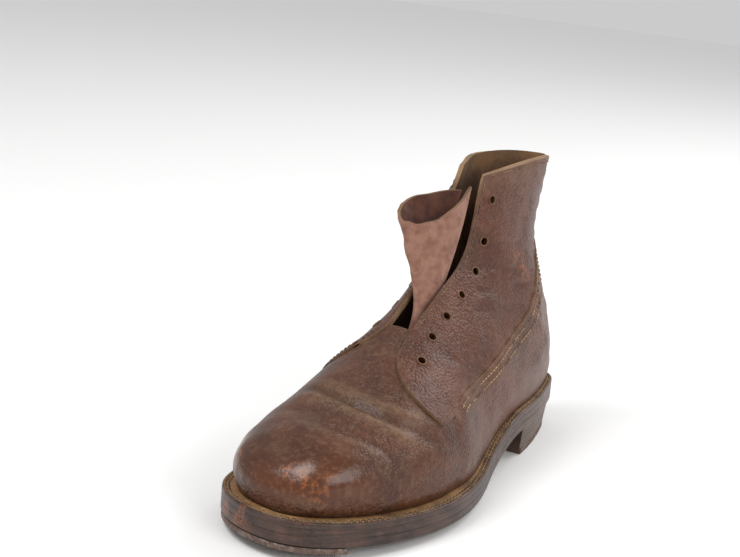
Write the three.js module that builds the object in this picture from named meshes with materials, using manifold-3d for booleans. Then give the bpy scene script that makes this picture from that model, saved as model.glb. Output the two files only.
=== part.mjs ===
// Left ankle boot with a hobnailed leather sole, standing empty on its heel plate and ball studs.
// Millimetres, +Z up. Toe towards -Y, heel towards +Y, outer (lateral) side of the foot towards +X.
// "a" is always the distance forward of the back of the heel, so y = SOLE_LENGTH / 2 - a.
import * as THREE from 'three';
import { mergeVertices } from 'three/addons/utils/BufferGeometryUtils.js';
import Module from 'manifold-3d';

const wasm = await Module();
wasm.setup();

// ---------------------------------------------------------------- driving dimensions
const SOLE_LENGTH = 300;
const CENTRE_X = 2.8;          // middle of the sole's width, moved to x = 0
const GAP = 0.3;               // air between neighbouring pieces
const STUD_HEIGHT = 4.0;       // outsole above the ground at the ball
const HEEL_HEIGHT = 19.0;      // outsole above the ground at the heel seat
const TOE_SPRING = 5.4;
const OUTSOLE_THICK = 5.6;
const MIDSOLE_THICK = 4.0;
const WELT_THICK = 3.6;
const WALL = 2.2;              // upper leather
const INSOLE_THICK = 3.0;
const TONGUE_THICK = 1.8;
const PLATE_THICK = 4.0;       // iron heel plate
const TOE_PLATE_THICK = 3.2;
const WELT_WIDTH_HEEL = 5.3;
const WELT_WIDTH_FORE = 7.9;
const WELT_INNER = 17;         // inner edge of the welt strip, in from the sole's edge
const BREAST_MEDIAL = 70;      // heel breast, slanting forward to the outer side
const BREAST_LATERAL = 80;
const EYELETS = 7;
const EYELET_RADIUS = 2.3;

// Half widths of the outsole at stations a: the shape a sole pattern is cut to.
const SOLE_LATERAL = [[0, 4], [5, 21.5], [25, 31.5], [50, 37.5], [73, 41], [97, 43], [133, 48],
  [169, 57.7], [205, 61.2], [242, 53.5], [279, 35.5], [300, 4]];
const SOLE_MEDIAL = [[0, 4], [5, -15], [28, -28.5], [50, -31.5], [70, -32], [97, -31.5], [118, -35],
  [142, -45], [187, -55.4], [228, -54.6], [268, -46.5], [292, -25], [300, 4]];

// ---------------------------------------------------------------- small mathematics
const clamp01 = (v) => Math.min(1, Math.max(0, v));
const smooth = (lo, hi, v) => { const t = clamp01((v - lo) / (hi - lo)); return t * t * (3 - 2 * t); };
const mix = (p, q, t) => p + (q - p) * t;
const yOf = (a) => SOLE_LENGTH / 2 - a;

// Natural cubic spline through [position, value] stations.
function chart(stations) {
  const n = stations.length - 1;
  const x = stations.map((s) => s[0]);
  const y = stations.map((s) => s[1]);
  const h = x.slice(1).map((v, i) => v - x[i]);
  const m = new Array(n + 1).fill(0);
  const diag = [], rhs = [];
  for (let i = 1; i < n; i++) {
    diag[i] = 2 * (h[i - 1] + h[i]);
    rhs[i] = 6 * ((y[i + 1] - y[i]) / h[i] - (y[i] - y[i - 1]) / h[i - 1]);
    if (i > 1) {
      const k = h[i - 1] / diag[i - 1];
      diag[i] -= k * h[i - 1];
      rhs[i] -= k * rhs[i - 1];
    }
  }
  for (let i = n - 1; i > 0; i--) m[i] = (rhs[i] - h[i] * m[i + 1]) / diag[i];
  return (v) => {
    let i = 0;
    while (i < n - 1 && v > x[i + 1]) i++;
    const s = h[i], p = x[i + 1] - v, q = v - x[i];
    return (m[i] * p ** 3 + m[i + 1] * q ** 3) / (6 * s)
      + (y[i] / s - m[i] * s / 6) * p + (y[i + 1] / s - m[i + 1] * s / 6) * q;
  };
}

// ---------------------------------------------------------------- sole: plan and side curves
// Height of the outsole's underside: flat under the ball, rising to the toe and over the waist.
function soleCurve(a) {
  const spring = TOE_SPRING * clamp01((a - 215) / (SOLE_LENGTH - 215)) ** 2;
  return mix(HEEL_HEIGHT, STUD_HEIGHT, smooth(80, 158, a)) + spring;
}
// Every layer bends at the same stations, so the layers stay parallel.
const KNOT = 10;
function soleUnder(a) {
  const k = Math.floor(a / KNOT);
  return mix(soleCurve(k * KNOT), soleCurve((k + 1) * KNOT), a / KNOT - k);
}
const soleTop = (a) => soleUnder(a) + OUTSOLE_THICK;
const midsoleTop = (a) => soleTop(a) + GAP + MIDSOLE_THICK;
const weltTop = (a) => midsoleTop(a) + GAP + WELT_THICK;
const featherLevel = (a) => weltTop(a) + GAP;

// Stations run by angle, so that both ends of the outline come out round.
const angleOf = (a) => Math.acos(1 - 2 * clamp01(a / SOLE_LENGTH));
const planChart = (stations) => {
  const f = chart(stations.map(([a, x]) => [angleOf(a), x]));
  return (theta) => f(theta) - CENTRE_X;
};
const lateralPlan = planChart(SOLE_LATERAL);
const medialPlan = planChart(SOLE_MEDIAL);

// One side of the sole outline moved inwards by inset(a): a list of [a, x] from heel to toe.
function insetSide(plan, outward, inset) {
  const steps = 240;
  const point = (k) => {
    const theta = Math.PI * clamp01(k / steps);
    return [SOLE_LENGTH * (1 - Math.cos(theta)) / 2, plan(theta)];
  };
  const side = [];
  for (let k = 0; k <= steps; k++) {
    const [a, x] = point(k);
    const p = point(Math.max(0, k - 1)), q = point(Math.min(steps, k + 1));
    let da = q[0] - p[0], dx = q[1] - p[1];
    if (k === 0 || k === steps) { da = 0; dx = k === 0 ? outward : -outward; }
    const len = Math.hypot(da, dx);
    const d = inset(a);
    side.push([a + d * dx * outward / len, x - d * da * outward / len]);
  }
  return side;
}

// The outline moved inwards, as a pair of functions of a.
function outline(inset) {
  const fn = typeof inset === 'function' ? inset : () => inset;
  const lat = insetSide(lateralPlan, 1, fn), med = insetSide(medialPlan, -1, fn);
  const start = fn(0), end = SOLE_LENGTH - fn(SOLE_LENGTH);
  const read = (side, a) => {
    let k = 1;
    while (k < side.length - 1 && side[k][0] < a) k++;
    const [a0, x0] = side[k - 1], [a1, x1] = side[k];
    return a1 - a0 < 1e-9 ? x0 : mix(x0, x1, clamp01((a - a0) / (a1 - a0)));
  };
  return { start, end, lateral: (a) => read(lat, a), medial: (a) => read(med, a) };
}

const weltWidth = (a) => mix(WELT_WIDTH_HEEL, WELT_WIDTH_FORE, smooth(60, 200, a));
const soleEdge = outline(0.001);
const feather = outline(weltWidth);
const innerFeather = outline((a) => weltWidth(a) + WALL);

// Stations of an outline: the shared bends, and closer ones towards its two round ends.
const END_STEPS = 5;
function stationsOf(edge) {
  const first = 2 * KNOT, last = SOLE_LENGTH - 2 * KNOT, out = [];
  const bunch = (i) => 1 - Math.cos(Math.PI / 2 * i / END_STEPS);
  for (let i = 0; i < END_STEPS; i++) out.push(mix(edge.start, first, bunch(i)));
  for (let a = first; a <= last; a += KNOT) out.push(a);
  for (let i = END_STEPS - 1; i >= 0; i--) out.push(mix(edge.end, last, bunch(i)));
  return out;
}

// ---------------------------------------------------------------- mesh building
class Surface {
  constructor() { this.at = []; this.tri = []; }
  point(x, a, z) { this.at.push(x, yOf(a), z); return this.at.length / 3 - 1; }
  quad(p, q, r, s) { this.tri.push(p, q, r, p, r, s); }
  // Joins equal points and drops the triangles that have closed up.
  geometry() {
    const raw = new THREE.BufferGeometry();
    raw.setAttribute('position', new THREE.Float32BufferAttribute(this.at, 3));
    raw.setIndex(this.tri);
    return tidy(raw);
  }
}

function tidy(geometry) {
  const merged = mergeVertices(geometry, 1e-3);
  const index = merged.getIndex().array, keep = [];
  for (let i = 0; i < index.length; i += 3) {
    const [p, q, r] = [index[i], index[i + 1], index[i + 2]];
    if (p !== q && q !== r && r !== p) keep.push(p, q, r);
  }
  const out = new THREE.BufferGeometry();
  out.setAttribute('position', merged.getAttribute('position'));
  out.setIndex(keep);
  return out;
}

// Closes the space between two equal grids of points: a bent sheet with four open edges.
function sheet(s, outer, inner) {
  const rows = outer.length - 1, columns = outer[0].length - 1;
  for (let i = 0; i < rows; i++) {
    for (let j = 0; j < columns; j++) {
      s.quad(outer[i][j], outer[i + 1][j], outer[i + 1][j + 1], outer[i][j + 1]);
      s.quad(inner[i][j], inner[i][j + 1], inner[i + 1][j + 1], inner[i + 1][j]);
    }
    s.quad(outer[i][0], inner[i][0], inner[i + 1][0], outer[i + 1][0]);
    s.quad(outer[i][columns], outer[i + 1][columns], inner[i + 1][columns], inner[i][columns]);
  }
  for (let j = 0; j < columns; j++) {
    s.quad(outer[0][j], outer[0][j + 1], inner[0][j + 1], inner[0][j]);
    s.quad(outer[rows][j], inner[rows][j], inner[rows][j + 1], outer[rows][j + 1]);
  }
}

// A layer between two outlines-with-heights; rings is a list of {edge, z}, bottom first.
// Each ring is walked at the same number of stations, and the first and last ring are covered.
function layeredPlate(rings) {
  const s = new Surface();
  const n = stationsOf(rings[0].edge).length - 1;
  const rows = rings.map(({ edge, z }) => stationsOf(edge).map((a, i) => {
    const lat = edge.lateral(a), med = edge.medial(a);
    if (i === 0 || i === n) { const p = s.point((lat + med) / 2, a, z(a)); return [p, p]; }
    return [s.point(lat, a, z(a)), s.point(med, a, z(a))];
  }));
  for (let k = 0; k + 1 < rows.length; k++) {
    for (let i = 0; i < n; i++) {
      const [lo, hi] = [rows[k], rows[k + 1]];
      s.quad(lo[i + 1][0], lo[i][0], hi[i][0], hi[i + 1][0]);
      s.quad(lo[i][1], lo[i + 1][1], hi[i + 1][1], hi[i][1]);
    }
  }
  const top = rows[rows.length - 1], base = rows[0];
  for (let i = 0; i < n; i++) {
    s.quad(top[i][1], top[i + 1][1], top[i + 1][0], top[i][0]);
    s.quad(base[i][0], base[i + 1][0], base[i + 1][1], base[i][1]);
  }
  return s.geometry();
}

// A flat-sided strip between an outer and an inner outline, following the sole's curve.
function edgeStrip(outer, inner, zLow, zHigh) {
  const s = new Surface();
  const ring = (edge, z) => {
    const stations = stationsOf(edge), n = stations.length - 1;
    const side = (f) => stations.map((a) => [f(a), a]);
    const lat = side(edge.lateral), med = side(edge.medial).reverse();
    const middle = (i, j) => [(lat[i][0] + med[j][0]) / 2, lat[i][1]];
    lat[0] = middle(0, n); lat[n] = middle(n, 0);
    return [...lat, ...med.slice(1, n)].map(([x, a]) => s.point(x, a, z(a)));
  };
  const [ol, oh, il, ih] = [ring(outer, zLow), ring(outer, zHigh), ring(inner, zLow), ring(inner, zHigh)];
  const m = ol.length;
  for (let i = 0; i < m; i++) {
    const j = (i + 1) % m;
    s.quad(ol[i], oh[i], oh[j], ol[j]);
    s.quad(oh[i], ih[i], ih[j], oh[j]);
    s.quad(ih[i], il[i], il[j], ih[j]);
    s.quad(il[i], ol[i], ol[j], il[j]);
  }
  return s.geometry();
}

// ---------------------------------------------------------------- solids cut from one another
function toManifold(geometry) {
  const g = tidy(geometry.index ? geometry : mergeVertices(geometry, 1e-3));
  return new wasm.Manifold(new wasm.Mesh({
    numProp: 3,
    vertProperties: Float32Array.from(g.getAttribute('position').array),
    triVerts: Uint32Array.from(g.getIndex().array),
  }));
}
function fromManifold(solid) {
  const mesh = solid.getMesh();
  const g = new THREE.BufferGeometry();
  const flat = [];
  for (let i = 0; i < mesh.numVert; i++) {
    for (let c = 0; c < 3; c++) flat.push(mesh.vertProperties[i * mesh.numProp + c]);
  }
  g.setAttribute('position', new THREE.Float32BufferAttribute(flat, 3));
  g.setIndex(Array.from(mesh.triVerts));
  return tidy(g);
}
const bare = (geometry) => {
  const g = geometry.clone();
  g.deleteAttribute('normal');
  g.deleteAttribute('uv');
  return g;
};

// Prism on a plan polygon of [x, a] corners, between two heights.
function planPrism(corners, zLow, zHigh) {
  const shape = new THREE.Shape(corners.map(([x, a]) => new THREE.Vector2(x, yOf(a))));
  const g = new THREE.ExtrudeGeometry(shape, { depth: zHigh - zLow, bevelEnabled: false });
  g.translate(0, 0, zLow);
  return toManifold(bare(g));
}

// ---------------------------------------------------------------- the last
// Sections are planes that hold the X direction. Each runs from a point on the bottom-and-back line
// to a point on the top-and-front line, turning from upright at the toe to level at the collar.
// Columns: position u, top line a and z, half width lateral and medial beyond the feather line (fore)
// or from the middle (heel and shaft), height share of the widest point, lower and upper roundness.
const HEEL_TURN = 0.62;        // position at which the sections leave the sole at the back
const TOP_LINE = [[0, 292.1, 24.6], [0.03, 292.6, 32.5], [0.062, 288.6, 41], [0.09, 281, 47.8],
  [0.12, 270, 53.4], [0.155, 254.5, 58.4], [0.19, 237, 64.4], [0.225, 217, 73], [0.26, 198, 82],
  [0.295, 181, 92], [0.33, 165, 102.3], [0.37, 149.5, 112.6], [0.41, 138, 119.6], [0.46, 129.5, 126],
  [0.52, 123.5, 132.5], [0.58, 120, 139.5], [0.66, 118, 148], [0.76, 117, 155], [0.88, 117.4, 162.8],
  [1, 119.2, 170.4]];
const BACK_LINE = [[0.62, 5.3, 33.6], [0.66, 3.4, 47], [0.70, 4.2, 62], [0.745, 7.8, 78],
  [0.79, 13.5, 93], [0.835, 18.6, 108], [0.875, 20.6, 123], [0.915, 18.6, 138], [0.955, 13, 153],
  [1, 5, 173]];
const SHAFT_WIDTH = [[0.30, 47, 44], [0.38, 38, 37.5], [0.46, 33, 33], [0.54, 30.5, 31.5],
  [0.62, 28, 30.5], [0.70, 25.5, 29], [0.78, 22, 27.5], [0.86, 18, 26], [0.93, 15.5, 22.5],
  [1, 13.5, 20.5]];
const WIDEST_SHARE = [[0, 0.35], [0.1, 0.3], [0.2, 0.2], [0.3, 0.16], [0.4, 0.2], [0.5, 0.27],
  [0.62, 0.36], [0.8, 0.45], [1, 0.5]];
const LOWER_ROUND = [[0, 2.2], [0.3, 2.2], [0.5, 2.4], [0.62, 2.3], [0.8, 2.0], [1, 2.0]];
const UPPER_ROUND = [[0, 2.3], [0.12, 2.45], [0.2, 2.2], [0.3, 1.85], [0.42, 1.75], [0.62, 1.9],
  [0.8, 1.95], [1, 1.9]];
const FORE_BULGE = 2.2;        // how far the upper swells over the welt
const LEAN = 4;                // the shaft stands over towards the inner side
const MEDIAL_PINCH = 0.7;      // the inner side of the collar runs straighter to the front
const COLLAR_CROWN = 4;        // the collar's sides stand above the line from front to back
const LOWER_SHARE = 0.36;      // share of each side's columns spent below the widest point

const column = (stations, c) => chart(stations.map((s) => [s[0], s[c]]));
const topA = column(TOP_LINE, 1), topZ = column(TOP_LINE, 2);
const backA = column(BACK_LINE, 1), backZ = column(BACK_LINE, 2);
const shaftLateral = column(SHAFT_WIDTH, 1), shaftMedial = column(SHAFT_WIDTH, 2);
const widestShare = chart(WIDEST_SHARE), lowerRound = chart(LOWER_ROUND), upperRound = chart(UPPER_ROUND);

const ROOT_A = feather.start, TOE_A = feather.end;
const AXIS_X = SOLE_LATERAL[0][1] - CENTRE_X;   // the line through heel back and toe tip

// Centre-line points of a section, moved inwards by depth.
function topPoint(u, depth) {
  const e = 1e-3, lo = Math.max(0, u - e), hi = Math.min(1, u + e);
  const da = topA(hi) - topA(lo), dz = topZ(hi) - topZ(lo), len = Math.hypot(da, dz);
  return [topA(u) - depth * dz / len, topZ(u) + depth * da / len];
}
// The back of the sections starts up from the heel gently, so that no crease forms where they turn.
function climb(u) {
  const t = (u - HEEL_TURN) / (1 - HEEL_TURN);
  return mix(HEEL_TURN, 1, t * t * (2 - t));
}
function bottomPoint(u, depth) {
  if (u <= HEEL_TURN) {
    const a = mix(ROOT_A + depth, TOE_A - depth, (1 + Math.cos(Math.PI * u / HEEL_TURN)) / 2);
    return [a, featherLevel(a)];
  }
  const e = 1e-3, lo = Math.max(HEEL_TURN, u - e), hi = Math.min(1, u + e);
  const da = backA(climb(hi)) - backA(climb(lo)), dz = backZ(climb(hi)) - backZ(climb(lo));
  const len = Math.hypot(da, dz);
  return [backA(climb(u)) + depth * dz / len, backZ(climb(u)) - depth * da / len];
}

// Point of the last at position u, at column v from 0 (lateral foot) over 0.5 (top) to 1 (medial foot).
function lastPoint(u, v, depth, edge) {
  const [ta, tz] = topPoint(u, depth), [ba, bz] = bottomPoint(u, depth);
  const lateral = v <= 0.5, side = lateral ? 1 : -1, r = lateral ? v * 2 : 2 - v * 2;
  const half = (a) => side * ((lateral ? edge.lateral(a) : edge.medial(a)) - AXIS_X);
  const foot = half(ba);
  const shaft = (lateral ? shaftLateral(u) : shaftMedial(u)) - depth;
  const widest = mix(foot + FORE_BULGE * smooth(0, 0.06, u), shaft, smooth(0.30, 0.44, u));
  const share = widestShare(u), low = 2 / lowerRound(u);
  const high = 2 / (upperRound(u) - (lateral ? 0 : MEDIAL_PINCH * smooth(0.72, 1, u)));
  let x, s;
  if (r < LOWER_SHARE) {
    // Next to the sole the wall stands on the feather line; up the back it closes to an oval.
    const q = Math.PI / 2 * (1 - r / LOWER_SHARE), start = edge.start;
    s = share * (1 - Math.sin(q) ** low);
    const along = (k) => half(start + Math.max(0, (u < HEEL_TURN ? ba - start : 0) + (ta - ba) * k));
    const standing = along(s) + (widest - along(share)) * Math.sin(Math.PI / 2 * s / share);
    const oval = widest * Math.cos(q) ** low;
    x = mix(standing, oval, smooth(0.64, 0.8, u));
  } else {
    const q = Math.PI / 2 * (r - LOWER_SHARE) / (1 - LOWER_SHARE);
    x = widest * Math.max(0, Math.cos(q)) ** high;
    s = share + (1 - share) * Math.sin(q) ** high;
  }
  const z = mix(bz, tz, s) + COLLAR_CROWN * 4 * s * (1 - s) * smooth(0.85, 1, u);
  return [AXIS_X + side * x - LEAN * smooth(50, 130, z), mix(ba, ta, s), z];
}

function makeUpperShell(shaftRows = 14, columns = 28) {
  const s = new Surface();
  const us = stationsOf(feather).reverse().map((a) =>
    HEEL_TURN / Math.PI * Math.acos(2 * (a - ROOT_A) / (TOE_A - ROOT_A) - 1));
  for (let i = 1; i <= shaftRows; i++) us.push(mix(HEEL_TURN, 1, i / shaftRows));
  const skin = (depth, edge) => us.map((u, i) => {
    const row = [];
    for (let j = 0; j <= columns; j++) {
      const [x, a, z] = lastPoint(u, j / columns, depth, edge);
      row.push(i === 0 ? s.point(AXIS_X, TOE_A - depth, featherLevel(TOE_A)) : s.point(x, a, z));
    }
    return row;
  });
  sheet(s, skin(0, feather), skin(WALL, innerFeather));
  return s.geometry();
}

// ---------------------------------------------------------------- throat and eyelets
const GAP_MEDIAL = -8.8, GAP_LATERAL = 5.7;    // the facings stand open this far, in x
const THROAT_U = 0.305;        // position of the vamp's throat edge
const EYELET_INSET = 11.5;     // eyelets in from the facing's edge, along the skin
const FIRST_EYELET = 6.2, EYELET_PITCH = 18.7;   // down the front line from the collar

// Band along the front line, cut out between the facings.
function throatCutter() {
  const steps = 26, outside = [], inside = [];
  for (let i = 0; i <= steps; i++) {
    const u = mix(THROAT_U, 1, i / steps);
    outside.push(topPoint(u, -9));
    inside.push(topPoint(u, 11));
  }
  const [fa, fz] = outside[steps], [ba, bz] = inside[steps];
  const path = [...outside, [fa, fz + 12], [ba, bz + 12], ...inside.reverse()];
  const shape = new THREE.Shape(path.map(([a, z]) => new THREE.Vector2(yOf(a), z)));
  const g = new THREE.ExtrudeGeometry(shape, { depth: GAP_LATERAL - GAP_MEDIAL, bevelEnabled: false });
  // The shape's (y, z) plane is turned up into the world, with its depth along +X.
  g.applyMatrix4(new THREE.Matrix4().makeBasis(
    new THREE.Vector3(0, 1, 0), new THREE.Vector3(0, 0, 1), new THREE.Vector3(1, 0, 0)));
  g.translate(GAP_MEDIAL, 0, 0);
  return toManifold(bare(g));
}

// Positions along the front line, given as distances down from the collar.
function frontPosition(distance) {
  let u = 1, run = 0, last = topPoint(1, 0);
  while (run < distance && u > 0.1) {
    u -= 0.002;
    const next = topPoint(u, 0);
    run += Math.hypot(next[0] - last[0], next[1] - last[1]);
    last = next;
  }
  return u;
}

// Point and outward direction of the outer skin at a distance behind the facing's edge, whose x is given.
function skinBehind(u, edgeX, distance) {
  const at = (uu, v) => {
    const [px, a, z] = lastPoint(uu, v, 0, feather);
    return new THREE.Vector3(px, yOf(a), z);
  };
  const side = Math.sign(edgeX), step = -side * 0.001;
  let v = 0.5, run = 0, last = at(u, v);
  while (run < distance) {
    v += step;
    const next = at(u, v);
    if (side * (next.x - edgeX) > 0) run += next.distanceTo(last);
    last = next;
  }
  const e = 0.004;
  const du = at(u + e, v).sub(at(u - e, v)), dv = at(u, v + e).sub(at(u, v - e));
  const normal = du.cross(dv).normalize();
  if (normal.x * side < 0) normal.negate();
  return { point: last, normal };
}

function eyeletCutters() {
  const cutters = [];
  for (const edge of [GAP_LATERAL, GAP_MEDIAL]) {
    for (let i = 0; i < EYELETS; i++) {
      const { point, normal } = skinBehind(
        frontPosition(FIRST_EYELET + EYELET_PITCH * i), edge, EYELET_INSET);
      const pin = new THREE.CylinderGeometry(EYELET_RADIUS, EYELET_RADIUS, 14, 8);
      pin.applyQuaternion(new THREE.Quaternion().setFromUnitVectors(new THREE.Vector3(0, 1, 0), normal));
      pin.translate(point.x, point.y, point.z);
      cutters.push(toManifold(bare(pin)));
    }
  }
  return cutters;
}

// Rounds the top front corner of one quarter: everything on that side of x = 0 outside the arc.
function cornerCutter(side, radius, cornerA, cornerZ) {
  const shape = new THREE.Shape();
  shape.moveTo(yOf(cornerA), cornerZ - radius);
  for (let i = 1; i <= 8; i++) {
    const q = Math.PI / 2 * i / 8;
    shape.lineTo(yOf(cornerA - radius * (1 - Math.cos(q))), cornerZ - radius * (1 - Math.sin(q)));
  }
  shape.lineTo(yOf(cornerA - radius), cornerZ + 20);
  shape.lineTo(yOf(cornerA + 20), cornerZ + 20);
  shape.lineTo(yOf(cornerA + 20), cornerZ - radius);
  const g = new THREE.ExtrudeGeometry(shape, { depth: 60, bevelEnabled: false });
  g.applyMatrix4(new THREE.Matrix4().makeBasis(
    new THREE.Vector3(0, 1, 0), new THREE.Vector3(0, 0, 1), new THREE.Vector3(1, 0, 0)));
  g.translate(side > 0 ? 0 : -60, 0, 0);
  return toManifold(bare(g));
}

function makeUpper() {
  let solid = toManifold(makeUpperShell()).subtract(throatCutter())
    .subtract(cornerCutter(-1, 42, 119, 175)).subtract(cornerCutter(1, 5, 120.2, 171));
  for (const cutter of eyeletCutters()) solid = solid.subtract(cutter);
  return fromManifold(solid);
}

// ---------------------------------------------------------------- tongue
// A single sheet rolled to a U that opens backwards, narrow in the throat and wide at its rim.
// At each height the U is one cubic curve from its inner edge, forward, to its outer edge. Columns:
// height t, then x, a, z of the inner edge, of the two points that draw it forward, of the outer edge.
const TONGUE = [
  [0, -4, 158, 87, -4.2, 172, 86, 4.2, 172, 86, 4.2, 158, 87],
  [0.22, -3.8, 150, 100, -5, 168, 97, 4.2, 165, 97, 4.2, 147, 100],
  [0.45, -6.2, 144, 116, -11.5, 166, 110, 4.6, 156, 107, 4.2, 136, 117],
  [0.72, -7.2, 123, 138, -32, 172, 134, 4, 156, 118, 4.4, 124, 141],
  [1, -7.4, 106, 162, -50, 178, 163, 2, 160, 126, 4.8, 116.5, 167]];
function makeTongue(rows = 12, columns = 16) {
  const s = new Surface();
  const col = TONGUE[0].slice(1).map((_, c) => column(TONGUE, c + 1));
  const at = (t, v) => {
    const w = 1 - v, weight = [w ** 3, 3 * w * w * v, 3 * w * v * v, v ** 3];
    const [x, a, z] = [0, 1, 2].map((c) => weight.reduce((sum, k, i) => sum + k * col[3 * i + c](t), 0));
    return new THREE.Vector3(x, a, z);
  };
  const inward = (t, v) => {
    const e = 1e-3, p = at(t, Math.max(0, v - e)), q = at(t, Math.min(1, v + e));
    const d = q.sub(p);
    return new THREE.Vector3(d.y, -d.x, 0).normalize().multiplyScalar(TONGUE_THICK);
  };
  const outer = [], inner = [];
  for (let i = 0; i <= rows; i++) {
    outer.push([]); inner.push([]);
    for (let j = 0; j <= columns; j++) {
      const t = i / rows, v = j / columns, p = at(t, v), q = p.clone().add(inward(t, v));
      outer[i].push(s.point(p.x, p.y, p.z));
      inner[i].push(s.point(q.x, q.y, q.z));
    }
  }
  sheet(s, inner, outer);
  return s.geometry();
}

// ---------------------------------------------------------------- heel
const HEEL_INSET_TOP = 1.2, HEEL_INSET_BOTTOM = 3.0, BREAST_HOLLOW = 2.5;

// Heel outline as [x, a] points: lateral breast corner, round the back, medial corner, breast.
function heelRing(inset, breastBack = 0) {
  const edge = outline(inset), ring = [];
  const lat = BREAST_LATERAL - breastBack, med = BREAST_MEDIAL - breastBack, steps = 12;
  const walk = (end, i) => mix(edge.start, end, (1 - Math.cos(Math.PI / 2 * i / steps)));
  for (let i = steps; i > 0; i--) ring.push([edge.lateral(walk(lat, i)), walk(lat, i)]);
  ring.push([AXIS_X, edge.start]);
  for (let i = 1; i <= steps; i++) ring.push([edge.medial(walk(med, i)), walk(med, i)]);
  const p = ring[ring.length - 1], q = ring[0], bars = 6;
  for (let i = 1; i < bars; i++) {
    const t = i / bars;
    ring.push([mix(p[0], q[0], t), mix(p[1], q[1], t) - BREAST_HOLLOW * Math.sin(Math.PI * t)]);
  }
  return ring;
}
function makeHeelStack() {
  const s = new Surface();
  const low = heelRing(HEEL_INSET_BOTTOM, 2), high = heelRing(HEEL_INSET_TOP);
  const rings = [[low, PLATE_THICK + GAP], [high, HEEL_HEIGHT - GAP]].map(([ring, z]) =>
    ring.map(([x, a]) => s.point(x, a, z)));
  const n = low.length;
  for (let i = 0; i < n; i++) {
    const j = (i + 1) % n;
    s.quad(rings[0][i], rings[0][j], rings[1][j], rings[1][i]);
  }
  for (const [ring, ids, up] of [[low, rings[0], false], [high, rings[1], true]]) {
    const contour = ring.map(([x, a]) => new THREE.Vector2(x, yOf(a)));
    for (const [p, q, r] of THREE.ShapeUtils.triangulateShape(contour, [])) {
      s.tri.push(...(up ? [ids[p], ids[q], ids[r]] : [ids[p], ids[r], ids[q]]));
    }
  }
  return s.geometry();
}

// ---------------------------------------------------------------- iron plates and nails
// A strip between two rows of [x, a] points, with its under and upper side at given heights.
function ironStrip(outer, inner, zLow, zHigh) {
  const s = new Surface(), n = outer.length - 1;
  const lay = (row, z) => row.map(([x, a]) => s.point(x, a, z(a)));
  const [ol, oh, il, ih] = [lay(outer, zLow), lay(outer, zHigh), lay(inner, zLow), lay(inner, zHigh)];
  for (let i = 0; i < n; i++) {
    s.quad(ol[i], ol[i + 1], oh[i + 1], oh[i]);
    s.quad(oh[i], oh[i + 1], ih[i + 1], ih[i]);
    s.quad(ih[i], ih[i + 1], il[i + 1], il[i]);
    s.quad(il[i], il[i + 1], ol[i + 1], ol[i]);
  }
  s.quad(ol[0], oh[0], ih[0], il[0]);
  s.quad(ol[n], il[n], ih[n], oh[n]);
  return s.geometry();
}

// A small block on the sole at [x, a], turned in plan, its under face at height z.
function soleBlock([x, a, turn], length, width, zLow, height) {
  const g = new THREE.BoxGeometry(width, length, height);
  g.rotateZ(turn);
  g.rotateX(a > 150 ? -Math.atan((soleUnder(a + 4) - soleUnder(a - 4)) / 8) : 0);
  g.translate(x, yOf(a), zLow + height / 2);
  return bare(g);
}
const SLOT = [8.4, 4.4], NAIL = [7.6, 3.6];    // nail slots and the nail heads in them
function slottedPlate(strip, nails, zAt, thick) {
  let solid = toManifold(strip);
  for (const nail of nails) {
    solid = solid.subtract(toManifold(soleBlock(nail, SLOT[0], SLOT[1], zAt(nail[1]) - thick, thick * 3)));
  }
  return fromManifold(solid);
}

const HEEL_PLATE_WIDTH = 9.5;
function makeHeelPlate() {
  const edge = outline(HEEL_INSET_BOTTOM), inside = outline(HEEL_INSET_BOTTOM + HEEL_PLATE_WIDTH);
  const steps = 13, outer = [], inner = [];
  const walk = (e, end, i) => mix(e.start, end, 1 - Math.cos(Math.PI / 2 * i / steps));
  for (let i = steps; i > -steps - 1; i--) {
    const lateral = i > 0, end = lateral ? BREAST_LATERAL - 5 : BREAST_MEDIAL - 5, k = Math.abs(i);
    const at = (e) => [i === 0 ? AXIS_X : (lateral ? e.lateral : e.medial)(walk(e, end, k)), walk(e, end, k)];
    outer.push(at(edge));
    inner.push(at(inside));
  }
  return ironStrip(outer, inner, () => 0, () => PLATE_THICK);
}
// Nail places [x, a, turn in plan], along the middle of the heel plate.
function plateSpot(side, a) {
  const line = outline(HEEL_INSET_BOTTOM + HEEL_PLATE_WIDTH / 2)[side];
  return [line(a), a, Math.atan((line(a + 3) - line(a - 3)) / 6)];
}
const HEEL_NAILS = [plateSpot('lateral', 64), plateSpot('lateral', 24),
  [AXIS_X, HEEL_INSET_BOTTOM + HEEL_PLATE_WIDTH / 2, Math.PI / 2],
  plateSpot('medial', 22), plateSpot('medial', 54)];
const TOE_NAILS = [[13.5, 280, 0.95], [2, 286.5, 1.3], [-12, 287, 1.75], [-26, 278, 2.35], [-37, 262.5, 2.75]];

const TOE_ARC = { x: -12.8, a: 250, radius: 24 };
const toePlateTop = (a) => soleUnder(a) - GAP;
const toePlateUnder = (a) => soleUnder(a) - GAP - TOE_PLATE_THICK;
function makeToePlate() {
  const edge = outline(0.4), steps = 24, outer = [], inner = [];
  const lateralEnd = 276, medialEnd = 242;
  const angleAt = (a) => Math.acos((a - SOLE_LENGTH / 2) / (SOLE_LENGTH / 2 - 0.4));
  const a0 = angleAt(lateralEnd), a1 = -angleAt(medialEnd);
  for (let i = 0; i <= steps; i++) {
    const q = mix(a0, a1, i / steps), a = SOLE_LENGTH / 2 + (SOLE_LENGTH / 2 - 0.4) * Math.cos(q);
    const near = Math.abs(q) < 1e-6;
    outer.push([near ? AXIS_X : (q > 0 ? edge.lateral : edge.medial)(a), a]);
    const turn = mix(0.86, -1.7, i / steps);
    inner.push([TOE_ARC.x + TOE_ARC.radius * Math.sin(turn), TOE_ARC.a + TOE_ARC.radius * Math.cos(turn)]);
  }
  return ironStrip(outer.reverse(), inner.reverse(), toePlateUnder, toePlateTop);
}

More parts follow.
